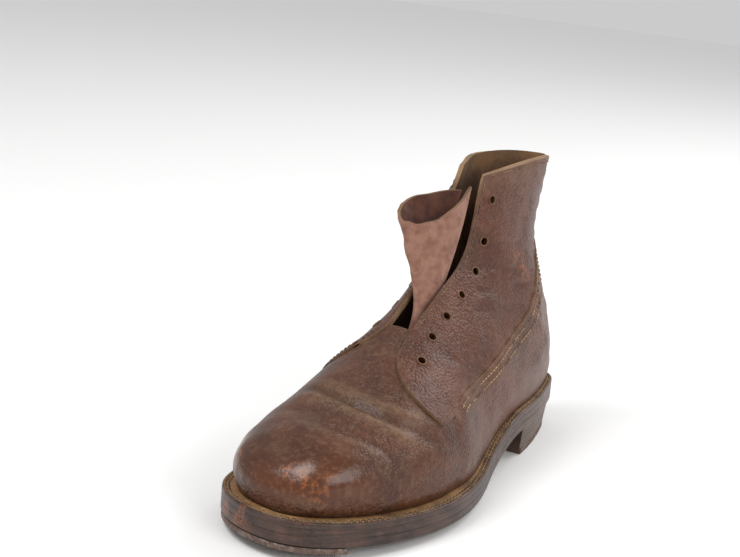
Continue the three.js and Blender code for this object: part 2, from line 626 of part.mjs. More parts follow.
// Stud places [x, a] on the outsole: four columns from the outer edge to the inner.
const STUDS = [[28, 258], [39.5, 229], [44, 201], [45, 174], [38.8, 146],
  [6.2, 250], [11, 223], [16.5, 195.5], [19, 168], [18.7, 142],
  [-18.6, 239], [-16.8, 207], [-12.4, 176], [-8.6, 142],
  [-43.3, 227], [-43.8, 199], [-42, 170.5], [-34.2, 141]];
const STUD_TOP = STUD_HEIGHT - 0.2;
function makeStud([x, a]) {
  const profile = [[0, 0], [3.4, 0], [5.3, 1.5], [5.9, STUD_TOP], [0, STUD_TOP]];
  const g = new THREE.LatheGeometry(profile.map(([r, h]) => new THREE.Vector2(r, h)), 12);
  // The lathe turns about +Y, which is laid up along +Z; then the stud is set square to the sole.
  g.rotateX(Math.PI / 2);
  g.translate(0, 0, -STUD_TOP);
  g.rotateX(-Math.atan((soleUnder(a + 4) - soleUnder(a - 4)) / 8));
  g.translate(x, yOf(a), soleUnder(a) - 0.2);
  return tidy(bare(g));
}

// ---------------------------------------------------------------- scene
const group = new THREE.Group();
group.name = 'work_boot';
const FINISH = {
  upper: ['#6b4a3f', 0.5, 0], tongue: ['#9a7064', 0.9, 0], insole: ['#5a4334', 0.85, 0],
  welt: ['#8f6a43', 0.75, 0], sole: ['#5f554e', 0.6, 0], iron: ['#6a544b', 0.55, 0.8],
  stud: ['#85736a', 0.4, 0.9],
};
function add(name, geometry, finish) {
  const [color, roughness, metalness] = FINISH[finish];
  geometry.computeVertexNormals();
  const material = new THREE.MeshStandardMaterial({ color, roughness, metalness, name: finish });
  const mesh = new THREE.Mesh(geometry, material);
  mesh.name = name;
  group.add(mesh);
}

add('outsole', layeredPlate([{ edge: soleEdge, z: soleUnder }, { edge: soleEdge, z: soleTop }]), 'sole');
add('midsole', layeredPlate([{ edge: soleEdge, z: (a) => soleTop(a) + GAP },
  { edge: soleEdge, z: midsoleTop }]), 'sole');
add('welt', edgeStrip(soleEdge, outline(WELT_INNER), (a) => midsoleTop(a) + GAP, weltTop), 'welt');
const insoleEdge = outline((a) => weltWidth(a) + WALL + 1.0);
const insoleCore = outline(WELT_INNER + 0.5);
add('insole', layeredPlate([
  { edge: insoleCore, z: (a) => midsoleTop(a) + GAP }, { edge: insoleCore, z: (a) => weltTop(a) + GAP },
  { edge: insoleEdge, z: (a) => weltTop(a) + GAP },
  { edge: insoleEdge, z: (a) => weltTop(a) + GAP + INSOLE_THICK }]), 'insole');
add('upper', makeUpper(), 'upper');
add('tongue', makeTongue(), 'tongue');
add('heel_stack', makeHeelStack(), 'sole');
add('heel_plate', slottedPlate(makeHeelPlate(), HEEL_NAILS, () => 0, PLATE_THICK), 'iron');
add('toe_plate', slottedPlate(makeToePlate(), TOE_NAILS, toePlateUnder, TOE_PLATE_THICK), 'iron');
HEEL_NAILS.forEach((nail, i) =>
  add(`heel_nail_${i + 1}`, soleBlock(nail, NAIL[0], NAIL[1], 0.4, PLATE_THICK - 0.5), 'stud'));
TOE_NAILS.forEach((nail, i) =>
  add(`toe_nail_${i + 1}`, soleBlock(nail, NAIL[0], NAIL[1], toePlateUnder(nail[1]) + 0.3,
    TOE_PLATE_THICK - 0.8), 'stud'));
STUDS.forEach((place, i) => add(`hobnail_${String(i + 1).padStart(2, '0')}`, makeStud(place), 'stud'));

export default group;
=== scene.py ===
"""Looks of a left ankle boot in worn grained leather, on a hobnailed leather sole.

Lengths inside the classes are in millimetres, in the boot's own terms: x towards the outer side of the
foot, a the distance forward of the back of the heel, z up. Meshes are written in metres in the row frame.
"""

import logging
import math
from dataclasses import dataclass, field
from enum import Enum
from typing import Callable, Sequence

import bpy
import numpy as np
from mathutils import Matrix, Vector
from mathutils.kdtree import KDTree


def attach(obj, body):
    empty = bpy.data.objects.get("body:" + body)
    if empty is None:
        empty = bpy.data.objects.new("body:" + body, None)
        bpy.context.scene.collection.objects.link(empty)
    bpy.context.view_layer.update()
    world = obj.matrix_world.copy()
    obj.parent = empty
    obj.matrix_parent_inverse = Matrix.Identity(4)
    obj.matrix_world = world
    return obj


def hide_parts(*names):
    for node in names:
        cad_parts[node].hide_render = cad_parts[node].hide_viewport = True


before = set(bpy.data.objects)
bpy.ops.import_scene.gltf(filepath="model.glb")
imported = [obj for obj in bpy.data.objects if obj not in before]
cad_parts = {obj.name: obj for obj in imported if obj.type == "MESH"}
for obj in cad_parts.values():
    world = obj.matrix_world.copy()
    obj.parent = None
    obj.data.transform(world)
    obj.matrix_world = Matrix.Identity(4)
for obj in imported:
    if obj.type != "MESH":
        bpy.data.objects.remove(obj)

LOG = logging.getLogger("boot")
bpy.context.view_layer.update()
Array = np.ndarray
Station = tuple[float, ...]     # a row of a given line or table
Piece = bpy.types.Object
Finish = bpy.types.Material
Socket = bpy.types.NodeSocket


# ---- small mathematics
def smooth(lo: float, hi: float, v: Array | float) -> Array:
    """Smooth step of v from 0 at lo to 1 at hi."""
    t = np.clip((np.asarray(v, float) - lo) / (hi - lo), 0, 1)
    return t * t * (3 - 2 * t)


def mix(p: Array | float, q: Array | float, t: Array | float) -> Array:
    """Blend from p to q by t."""
    return p + (q - p) * t


def bell(d: Array, half: float) -> Array:
    """Soft bump of distance d: 1 at 0, about a third at half."""
    return np.exp(-((d / half) ** 2))


def chart(stations: Sequence[Station], column: int = 1) -> Callable[[Array], Array]:
    """Natural cubic spline through one column of a table.

    Args:
        stations: rows that start with the position.
        column: which value of each row is drawn through.

    Returns:
        A function of position.
    """
    x = np.array([s[0] for s in stations], float)
    y = np.array([s[column] for s in stations], float)
    n, h = len(x) - 1, np.diff(x)
    system, right = np.eye(n + 1), np.zeros(n + 1)
    for i in range(1, n):
        system[i, i - 1 : i + 2] = h[i - 1], 2 * (h[i - 1] + h[i]), h[i]
        right[i] = 6 * ((y[i + 1] - y[i]) / h[i] - (y[i] - y[i - 1]) / h[i - 1])
    m = np.linalg.solve(system, right)

    def read(v: Array) -> Array:
        """Value of the spline.

        Args:
            v: positions.

        Returns:
            The values there.
        """
        v = np.asarray(v, float)
        i = np.clip(np.searchsorted(x, v) - 1, 0, n - 1)
        p, q, s = x[i + 1] - v, v - x[i], h[i]
        return (m[i] * p**3 + m[i + 1] * q**3) / (6 * s) + (
            (y[i] / s - m[i] * s / 6) * p + (y[i + 1] / s - m[i + 1] * s / 6) * q
        )

    return read


def ripple(p: Array, pitch: float, seed: float) -> Array:
    """Repeatable soft unevenness.

    Args:
        p: points in mm, (..., 3).
        pitch: distance between crests, in mm.
        seed: shifts the pattern.

    Returns:
        Values between about -1 and 1.
    """
    k = 2 * math.pi / pitch
    turns = ((1, 0.3, 0.2), (-0.4, 1, 0.3), (0.2, -0.5, 1), (0.7, 0.7, -0.6))
    total = np.zeros(p.shape[:-1])
    for i, d in enumerate(turns):
        total += np.sin(k * (1 + 0.23 * i) * (p @ np.array(d)) + seed * (i + 1) * 1.7)
    return total / 3


def near_line(p: Array, line: Sequence[Station]) -> tuple[Array, Array]:
    """Distance from points to a polyline.

    Args:
        p: points, (..., 3).
        line: corners of the polyline.

    Returns:
        The distance, and how far along the line the nearest place is, from 0 to 1.
    """
    q = np.array(line, float)
    best = np.full(p.shape[:-1], 1e9)
    along = np.zeros(p.shape[:-1])
    for i in range(len(q) - 1):
        d = q[i + 1] - q[i]
        t = np.clip(((p - q[i]) @ d) / (d @ d), 0, 1)
        r = np.linalg.norm(p - q[i] - t[..., None] * d, axis=-1)
        nearer = r < best
        best = np.where(nearer, r, best)
        along = np.where(nearer, (i + t) / (len(q) - 1), along)
    return best, along


def curve_through(points: Sequence[Station], step: float = 1.0) -> Array:
    """Points at equal steps along a smooth curve.

    Args:
        points: what the curve runs through.
        step: distance between results, in mm.

    Returns:
        The points, one in each row.
    """
    p = np.array(points, float)
    run = np.concatenate([[0], np.cumsum(np.linalg.norm(np.diff(p, axis=0), axis=1))])
    fine = np.linspace(0, run[-1], 20 * len(p))
    q = np.stack([chart(list(zip(run, p[:, c])))(fine) for c in range(p.shape[1])], -1)
    run = np.concatenate([[0], np.cumsum(np.linalg.norm(np.diff(q, axis=0), axis=1))])
    at = np.arange(0, run[-1] + 1e-6, step)
    return np.stack([np.interp(at, run, q[:, c]) for c in range(p.shape[1])], -1)


def metres(p: Array) -> Array:
    """Points (x, a, z) in mm as row-frame metres."""
    p = np.asarray(p, float)
    return np.stack([p[..., 0], LastSizes.length / 2 - p[..., 1], p[..., 2]], -1) / 1000


def boot_mm(p: Array) -> Array:
    """Row-frame metres as points (x, a, z) in mm."""
    p = np.asarray(p, float) * 1000
    return np.stack([p[..., 0], LastSizes.length / 2 - p[..., 1], p[..., 2]], -1)


# ---- the last and the sole's outline
class Side(Enum):
    """The two sides of the boot."""

    LATERAL = 1
    MEDIAL = -1


@dataclass(frozen=True)
class LastSizes:
    """Sizes that the last and the sole share."""

    length: float = 300
    centre_x: float = 2.8     # shifts the outline so that the frame's middle lies on x = 0
    gap: float = 0.3     # between neighbouring layers of the sole in the part
    seam: float = 0.08     # the same gap as it is seen
    stud: float = 4.0     # height of the outsole's underside over the floor, forefoot and heel
    heel: float = 19.0
    spring: float = 5.4     # rise of the toe
    outsole: float = 5.6     # thicknesses
    midsole: float = 4.0
    welt: float = 3.6
    wall: float = 2.2
    heel_turn: float = 0.62     # u at which the sections start to climb the back
    bulge: float = 2.2     # how far the sections swell over the welt
    lean: float = 4     # inward lean of the shaft
    crown: float = 4     # rise of the collar at its sides
    pinch: float = 0.7     # how much rounder the inner side gets towards the collar
    lower_share: float = 0.36     # share of a half section that lies below its widest place


S = LastSizes()

SOLE_LATERAL = [(0, 4), (5, 21.5), (25, 31.5), (50, 37.5), (73, 41), (97, 43), (133, 48), (169, 57.7),
    (205, 61.2), (242, 53.5), (279, 35.5), (300, 4)]
SOLE_MEDIAL = [(0, 4), (5, -15), (28, -28.5), (50, -31.5), (70, -32), (97, -31.5), (118, -35), (142, -45),
    (187, -55.4), (228, -54.6), (268, -46.5), (292, -25), (300, 4)]
AXIS_X = SOLE_LATERAL[0][1] - S.centre_x


def sole_under(a: Array) -> Array:
    """Height of the outsole's underside."""
    spring = S.spring * np.clip((a - 215) / (S.length - 215), 0, 1) ** 2
    return mix(S.heel, S.stud, smooth(80, 158, a)) + spring


def sole_top(a: Array) -> Array:
    """Height of the outsole's top."""
    return sole_under(a) + S.outsole


def midsole_top(a: Array) -> Array:
    """Height of the midsole's top."""
    return sole_top(a) + S.gap + S.midsole


def welt_top(a: Array) -> Array:
    """Height of the welt's top."""
    return midsole_top(a) + S.gap + S.welt


def feather_level(a: Array) -> Array:
    """Height at which the upper meets the welt."""
    return welt_top(a) + S.gap


def welt_width(a: Array) -> Array:
    """Width of welt that shows outside the upper."""
    return mix(5.3, 7.9, smooth(60, 200, a))


class Outline:
    """The sole's outline moved inwards by a constant or by a function of a."""

    def __init__(self, inset: float | Callable[[Array], Array] = 0.0) -> None:
        """Draws both sides from heel to toe.

        Args:
            inset: how far inside the edge, in mm, or a function of a.
        """
        fn = inset if callable(inset) else (lambda a: np.full(np.shape(a), float(inset)))
        self.start = float(fn(np.array(0.0)))
        self.end = S.length - float(fn(np.array(S.length)))
        theta = np.linspace(0, math.pi, 481)
        self.sides: dict[Side, tuple[Array, Array]] = {}
        for side, table in ((Side.LATERAL, SOLE_LATERAL), (Side.MEDIAL, SOLE_MEDIAL)):
            plan = chart([(math.acos(1 - 2 * a / S.length), x - S.centre_x) for a, x in table])
            a, x = S.length * (1 - np.cos(theta)) / 2, plan(theta)
            da, dx = np.gradient(a), np.gradient(x)
            da[0] = da[-1] = 0
            dx[0], dx[-1] = side.value, -side.value
            run, d = np.hypot(da, dx), fn(a)
            a2 = a + d * dx * side.value / run
            self.sides[side] = (np.maximum.accumulate(a2), x - d * da * side.value / run)

    def at(self, side: Side, a: Array) -> Array:
        """The outline's x on one side at a."""
        return np.interp(a, *self.sides[side])

    def ring(self, n: int) -> Array:
        """Points round the outline: up the outer side, back down the inner.

        Args:
            n: how many steps each side has.

        Returns:
            Points (x, a), 2 n of them.
        """
        a = self.start + (self.end - self.start) * (1 - np.cos(np.linspace(0, math.pi, n + 1))) / 2
        lat = np.stack([self.at(Side.LATERAL, a), a], -1)
        med = np.stack([self.at(Side.MEDIAL, a), a], -1)[::-1]
        lat[0, 0] = lat[-1, 0] = AXIS_X
        return np.concatenate([lat, med[1:-1]])


class Last:
    """The last that the upper is pulled over: a fan of sections, as in the part's own source."""

    top_line = [(0, 292.1, 24.6), (0.03, 292.6, 32.5), (0.062, 288.6, 41), (0.09, 281, 47.8),
        (0.12, 270, 53.4), (0.155, 254.5, 58.4), (0.19, 237, 64.4), (0.225, 217, 73), (0.26, 198, 82),
        (0.295, 181, 92), (0.33, 165, 102.3), (0.37, 149.5, 112.6), (0.41, 138, 119.6),
        (0.46, 129.5, 126), (0.52, 123.5, 132.5), (0.58, 120, 139.5), (0.66, 118, 148),
        (0.76, 117, 155), (0.88, 117.4, 162.8), (1, 119.2, 170.4)]
    back_line = [(0.62, 5.3, 33.6), (0.66, 3.4, 47), (0.70, 4.2, 62), (0.745, 7.8, 78), (0.79, 13.5, 93),
        (0.835, 18.6, 108), (0.875, 20.6, 123), (0.915, 18.6, 138), (0.955, 13, 153), (1, 5, 173)]
    shaft_width = [(0.30, 47, 44), (0.38, 38, 37.5), (0.46, 33, 33), (0.54, 30.5, 31.5), (0.62, 28, 30.5),
        (0.70, 25.5, 29), (0.78, 22, 27.5), (0.86, 18, 26), (0.93, 15.5, 22.5), (1, 13.5, 20.5)]
    widest = [(0, 0.35), (0.1, 0.3), (0.2, 0.2), (0.3, 0.16), (0.4, 0.2), (0.5, 0.27), (0.62, 0.36),
        (0.8, 0.45), (1, 0.5)]
    lower_round = [(0, 2.2), (0.3, 2.2), (0.5, 2.4), (0.62, 2.3), (0.8, 2.0), (1, 2.0)]
    upper_round = [(0, 2.3), (0.12, 2.45), (0.2, 2.2), (0.3, 1.85), (0.42, 1.75), (0.62, 1.9),
        (0.8, 1.95), (1, 1.9)]

    def __init__(self) -> None:
        """Draws the last's curves."""
        self.top = [chart(self.top_line, c) for c in (1, 2)]
        self.back = [chart(self.back_line, c) for c in (1, 2)]
        self.shaft = {Side.LATERAL: chart(self.shaft_width, 1), Side.MEDIAL: chart(self.shaft_width, 2)}
        self.share, self.low, self.high = (chart(t) for t in (self.widest, self.lower_round, self.upper_round))
        feather = Outline(welt_width)
        self.root, self.toe = feather.start, feather.end

    def climb(self, u: Array) -> Array:
        """Position up the back, started gently from the heel."""
        t = (u - S.heel_turn) / (1 - S.heel_turn)
        return mix(S.heel_turn, 1, t * t * (2 - t))

    def top_point(self, u: Array, depth: Array | float) -> tuple[Array, Array]:
        """A point of the top and front line.

        Args:
            u: position along the boot.
            depth: how far inside the line, in mm.

        Returns:
            Its a and z.
        """
        u = np.asarray(u, float)
        lo, hi = np.maximum(0, u - 1e-3), np.minimum(1, u + 1e-3)
        da, dz = (f(hi) - f(lo) for f in self.top)
        run = np.hypot(da, dz)
        return self.top[0](u) - depth * dz / run, self.top[1](u) + depth * da / run

    def bottom_point(self, u: Array, depth: Array | float) -> tuple[Array, Array]:
        """A point of the bottom and back line.

        Args:
            u: position along the boot.
            depth: how far inside the line, in mm.

        Returns:
            Its a and z.
        """
        u = np.asarray(u, float)
        k = np.minimum(u, S.heel_turn) / S.heel_turn
        flat = mix(self.root + depth, self.toe - depth, (1 + np.cos(math.pi * k)) / 2)
        lo, hi = np.maximum(S.heel_turn, u - 1e-3), np.minimum(1, np.maximum(u, S.heel_turn) + 1e-3)
        da, dz = (f(self.climb(hi)) - f(self.climb(lo)) for f in self.back)
        run = np.hypot(da, dz)
        v = self.climb(np.maximum(u, S.heel_turn))
        on_sole = u <= S.heel_turn
        return (np.where(on_sole, flat, self.back[0](v) + depth * dz / run),
                np.where(on_sole, feather_level(flat), self.back[1](v) - depth * da / run))

    def skin(self, u: Array, v: Array, depth: float = 0.0) -> Array:
        """Points of the last's skin.

        Args:
            u: position along the boot, 0 at the toe to 1 at the collar.
            v: position over it, 0 at the outer foot, 0.5 on top, 1 at the inner foot.
            depth: how far inside the skin, in mm; negative stands proud.

        Returns:
            Points (x, a, z), in the shape of u and v.
        """
        u, v = np.broadcast_arrays(np.asarray(u, float), np.asarray(v, float))
        (ta, tz), (ba, bz) = self.top_point(u, depth), self.bottom_point(u, depth)
        edge = Outline(lambda a: welt_width(a) + depth)
        out = np.zeros(u.shape + (3,))
        for side in Side:
            pick = v <= 0.5 if side is Side.LATERAL else v > 0.5
            r = 2 * v if side is Side.LATERAL else 2 - 2 * v

            def half(a: Array) -> Array:
                """Half width of the feather line at a."""
                return side.value * (edge.at(side, a) - AXIS_X)

            widest = mix(half(ba) + S.bulge * smooth(0, 0.06, u), self.shaft[side](u) - depth,
                         smooth(0.30, 0.44, u))
            share, low = self.share(u), 2 / self.low(u)
            high = 2 / (self.high(u) - (S.pinch * smooth(0.72, 1, u) if side is Side.MEDIAL else 0))
            q = math.pi / 2 * (1 - np.clip(r / S.lower_share, 0, 1))
            s = share * (1 - np.sin(q) ** low)
            base = np.where(u < S.heel_turn, ba - edge.start, 0)
            along = half(edge.start + np.maximum(0, base + (ta - ba) * s))
            shoulder = half(edge.start + np.maximum(0, base + (ta - ba) * share))
            standing = along + (widest - shoulder) * np.sin(math.pi / 2 * s / share)
            x_low = mix(standing, widest * np.maximum(0, np.cos(q)) ** low, smooth(0.64, 0.8, u))
            q = math.pi / 2 * np.clip((r - S.lower_share) / (1 - S.lower_share), 0, 1)
            x_high = widest * np.maximum(0, np.cos(q)) ** high
            s_high = share + (1 - share) * np.sin(q) ** high
            below = r < S.lower_share
            x, s = np.where(below, x_low, x_high), np.where(below, s, s_high)
            z = mix(bz, tz, s) + S.crown * 4 * s * (1 - s) * smooth(0.85, 1, u)
            p = np.stack([AXIS_X + side.value * x - S.lean * smooth(50, 130, z), mix(ba, ta, s), z], -1)
            out = np.where(pick[..., None], p, out)
        return out

    def front_position(self, distance: float) -> float:
        """Finds a place on the front line.

        Args:
            distance: how far down from the collar, in mm.

        Returns:
            The position u.
        """
        u = np.linspace(1, 0.1, 1800)
        a, z = self.top_point(u, 0)
        run = np.concatenate([[0], np.cumsum(np.hypot(np.diff(a), np.diff(z)))])
        return float(np.interp(distance, run, u))


LAST = Last()


# ---- mesh making
class Form:
    """Points, faces and zones of a piece while it is put together, in boot millimetres."""

    def __init__(self) -> None:
        """Starts an empty form."""
        self.points: list[Array] = []
        self.faces: list[tuple[int, ...]] = []
        self.zones: list[int] = []
        self.count = 0

    def put(self, points: Array) -> Array:
        """Adds points.

        Args:
            points: an arrangement of points in boot mm.

        Returns:
            Their numbers, in the same arrangement.
        """
        flat = np.asarray(points, float).reshape(-1, 3)
        ids = np.arange(self.count, self.count + len(flat)).reshape(np.shape(points)[:-1])
        self.points.append(flat)
        self.count += len(flat)
        return ids

    def face(self, *ids: int, zone: int = 0) -> None:
        """Adds one face."""
        self.faces.append(tuple(int(i) for i in ids))
        self.zones.append(zone)

    def prune(self) -> None:
        """Drops the points that no face uses."""
        used = np.unique(np.array([k for face in self.faces for k in face]))
        number = np.full(self.count, -1)
        number[used] = np.arange(len(used))
        self.points = [np.concatenate(self.points)[used]]
        self.faces = [tuple(int(number[k]) for k in face) for face in self.faces]
        self.count = len(used)

    def lattice(self, ids: Array, zone: int = 0, around: bool = False) -> None:
        """Fills a lattice with quads.

        Args:
            ids: point numbers, in rows and columns.
            zone: which material the faces take.
            around: whether the last column joins the first.
        """
        rows, cols = ids.shape
        for i in range(rows - 1):
            for j in range(cols if around else cols - 1):
                k = (j + 1) % cols
                self.face(ids[i, j], ids[i, k], ids[i + 1, k], ids[i + 1, j], zone=zone)

    def finish(self, name: str, finishes: Sequence[Finish], angle: float = 40) -> Piece:
        """Turns the form into a clean, outward-facing mesh object.

        Args:
            name: name of the object and its mesh.
            finishes: materials by zone.
            angle: degrees above which an edge stays sharp.

        Returns:
            The object, at the origin.
        """
        mesh = bpy.data.meshes.new(name)
        points = metres(np.concatenate(self.points))
        mesh.from_pydata(points.tolist(), [], self.faces)
        for m in finishes:
            mesh.materials.append(m)
        mesh.polygons.foreach_set("material_index", np.minimum(self.zones, len(finishes) - 1))
        piece = bpy.data.objects.new(name, mesh)
        bpy.context.collection.objects.link(piece)
        tidy(piece, angle)
        return piece


def alone(piece: Piece) -> None:
    """Selects one object only and makes it active.

    Args:
        piece: the object.
    """
    bpy.ops.object.select_all(action="DESELECT")
    piece.select_set(True)
    bpy.context.view_layer.objects.active = piece


def tidy(piece: Piece, angle: float = 40) -> None:
    """Merges doubles, turns faces outwards and shades smooth.

    Args:
        piece: the object.
        angle: degrees above which an edge stays sharp.
    """
    alone(piece)
    bpy.ops.object.mode_set(mode="EDIT")
    bpy.ops.mesh.select_all(action="SELECT")
    bpy.ops.mesh.remove_doubles(threshold=2e-6)
    bpy.ops.mesh.dissolve_degenerate(threshold=1e-6)
    bpy.ops.mesh.select_all(action="SELECT")
    bpy.ops.mesh.normals_make_consistent(inside=False)
    bpy.ops.object.mode_set(mode="OBJECT")
    bpy.ops.object.shade_smooth_by_angle(angle=math.radians(angle))


def cut(piece: Piece, cutter: Piece) -> None:
    """Takes one solid out of another and removes the cutter.

    Args:
        piece: what is cut.
        cutter: the solid that is taken out.
    """
    mod = piece.modifiers.new("cut", "BOOLEAN")
    mod.operation, mod.solver, mod.object = "DIFFERENCE", "MANIFOLD", cutter
    alone(piece)
    before = len(piece.data.polygons)
    bpy.ops.object.modifier_apply(modifier="cut")
    LOG.info("cut %s: %d -> %d faces", piece.name, before, len(piece.data.polygons))
    bpy.data.objects.remove(cutter, do_unlink=True)
    alone(piece)
    bpy.ops.object.shade_smooth_by_angle(angle=math.radians(40))


def joined(name: str, parts: Sequence[Piece]) -> Piece:
    """Joins parts into one named object at the origin, with their places applied.

    Args:
        name: the new name.
        parts: what is joined.

    Returns:
        The joined object.
    """
    bpy.ops.object.select_all(action="DESELECT")
    for p in parts:
        p.select_set(True)
    bpy.context.view_layer.objects.active = parts[0]
    if len(parts) > 1:
        bpy.ops.object.join()
    bpy.ops.object.transform_apply(location=True, rotation=True, scale=True)
    parts[0].name = parts[0].data.name = name
    return parts[0]


def write_marks(piece: Piece, marks: Callable[[Array], Array]) -> None:
    """Stores wear, darkening from grime and painted shade, scuff and gloss at each vertex as a colour attribute.

    Args:
        piece: the object.
        marks: gives the four values at points in boot mm.
    """
    mesh = piece.data
    p = np.zeros(len(mesh.vertices) * 3)
    mesh.vertices.foreach_get("co", p)
    values = np.clip(marks(boot_mm(p.reshape(-1, 3))), 0, 1)
    layer = mesh.color_attributes.new("marks", "FLOAT_COLOR", "POINT")
    layer.data.foreach_set("color", values.astype(np.float32).ravel())


def rubbed(wear: Array) -> Array:
    """Marks of wear alone, without grime or painted shade, scuff or gloss."""
    return np.stack([wear] + [np.zeros(len(wear))] * 3, -1)


def unmarked(p: Array) -> Array:
    """No marks at all at points p."""
    return rubbed(np.zeros(len(p)))


def place(piece: Piece, slot: str, *nodes: str) -> None:
    """Attaches one piece to the root body and hides the parts of the model that it stands for.

    Args:
        piece: the object.
        slot: its material slot; not used.
        *nodes: the nodes that it stands for.
    """
    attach(piece, "root")
    if nodes:
        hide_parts(*nodes)
    LOG.info("%s: %d vertices, %d faces", piece.name, len(piece.data.vertices), len(piece.data.polygons))


# ---- finishes
def linear(code: str) -> tuple[float, float, float, float]:
    """An sRGB colour such as #6b4a3f as linear RGBA."""
    parts = [int(code[i : i + 2], 16) / 255 for i in (1, 3, 5)]
    return tuple(c / 12.92 if c <= 0.04045 else ((c + 0.055) / 1.055) ** 2.4 for c in parts) + (1.0,)


def add(tree: bpy.types.NodeTree, kind: str, inputs: dict | None = None, **settings: object) -> bpy.types.Node:
    """Adds one shader node.

    Args:
        tree: the node tree.
        kind: the node's type.
        inputs: values by input; a socket is linked.
        **settings: attributes of the node.

    Returns:
        The node.
    """
    n = tree.nodes.new(kind)
    for key, value in settings.items():
        setattr(n, key, value)
    for key, value in (inputs or {}).items():
        if isinstance(value, Socket):
            tree.links.new(value, n.inputs[key])
        else:
            n.inputs[key].default_value = value
    return n


class Sheet:
    """A material under construction: its tree and the few node patterns that all finishes share."""

    def __init__(self, name: str) -> None:
        """Opens a material with a Principled shader.

        Args:
            name: the material's name.
        """
        self.material = bpy.data.materials.new(name)
        self.material.use_nodes = True
        self.tree = self.material.node_tree
        self.shader = self.tree.nodes["Principled BSDF"]
        self.place = add(self.tree, "ShaderNodeTexCoord").outputs["Object"]

    def noise(self, size_mm: float, detail: float = 3, rough: float = 0.55,
              stretch: tuple[float, float, float] = (1, 1, 1)) -> Socket:
        """Soft noise.

        Args:
            size_mm: how wide its blobs are, in mm.
            detail: octaves of finer noise.
            rough: how strong those are.
            stretch: scale along each axis.

        Returns:
            The noise, from 0 to 1.
        """
        at = add(self.tree, "ShaderNodeMapping", {"Vector": self.place, "Scale": stretch}).outputs[0]
        return add(self.tree, "ShaderNodeTexNoise", {"Vector": at, "Scale": 1000 / size_mm, "Detail": detail,
                   "Roughness": rough}).outputs["Fac"]

    def band(self, value: Socket, lo: float, hi: float, to_lo: float = 0, to_hi: float = 1) -> Socket:
        """Maps value from lo..hi to another range, clamped."""
        return add(self.tree, "ShaderNodeMapRange", {"Value": value, "From Min": lo, "From Max": hi,
                   "To Min": to_lo, "To Max": to_hi}, interpolation_type="SMOOTHSTEP").outputs[0]

    def maths(self, kind: str, p: object, q: object) -> Socket:
        """Result of one clamped sum or product."""
        return add(self.tree, "ShaderNodeMath", {0: p, 1: q}, operation=kind, use_clamp=True).outputs[0]

    def times(self, p: object, q: object) -> Socket:
        """Clamped product of two values."""
        return self.maths("MULTIPLY", p, q)

    def blend(self, share: object, p: object, q: object) -> Socket:
        """Colour p turning to q by share; colours are hex strings or sockets."""
        p, q = (linear(c) if isinstance(c, str) else c for c in (p, q))
        return add(self.tree, "ShaderNodeMix", {0: share, 6: p, 7: q}, data_type="RGBA").outputs[2]

    def marks(self) -> list[Socket]:
        """The marks written on the vertices.

        Returns:
            Wear, darkening (grime and painted shade), scuff and gloss.
        """
        at = add(self.tree, "ShaderNodeAttribute", attribute_name="marks")
        split = add(self.tree, "ShaderNodeSeparateColor", {0: at.outputs["Color"]})
        return [split.outputs[0], split.outputs[1], split.outputs[2], at.outputs["Alpha"]]

    def bump(self, height: Socket, distance_mm: float, strength: object = 1, under: Socket | None = None) -> Socket:
        """A bump of a real height.

        Args:
            height: its shape, from 0 to 1.
            distance_mm: its height in mm.
            strength: how much of it shows.
            under: a coarser bump that it lies on.

        Returns:
            The normal.
        """
        links: dict = {"Height": height, "Distance": distance_mm / 1000, "Strength": strength}
        if under is not None:
            links["Normal"] = under
        return add(self.tree, "ShaderNodeBump", links).outputs[0]

    def close(self, **values: object) -> Finish:
        """Sets or links the shader's inputs.

        Args:
            **values: values or sockets by input, named with _ for a space.

        Returns:
            The finished material.
        """
        for key, value in values.items():
            socket = self.shader.inputs[key.replace("_", " ")]
            if isinstance(value, Socket):
                self.tree.links.new(value, socket)
            else:
                socket.default_value = linear(value) if isinstance(value, str) else value
        return self.material


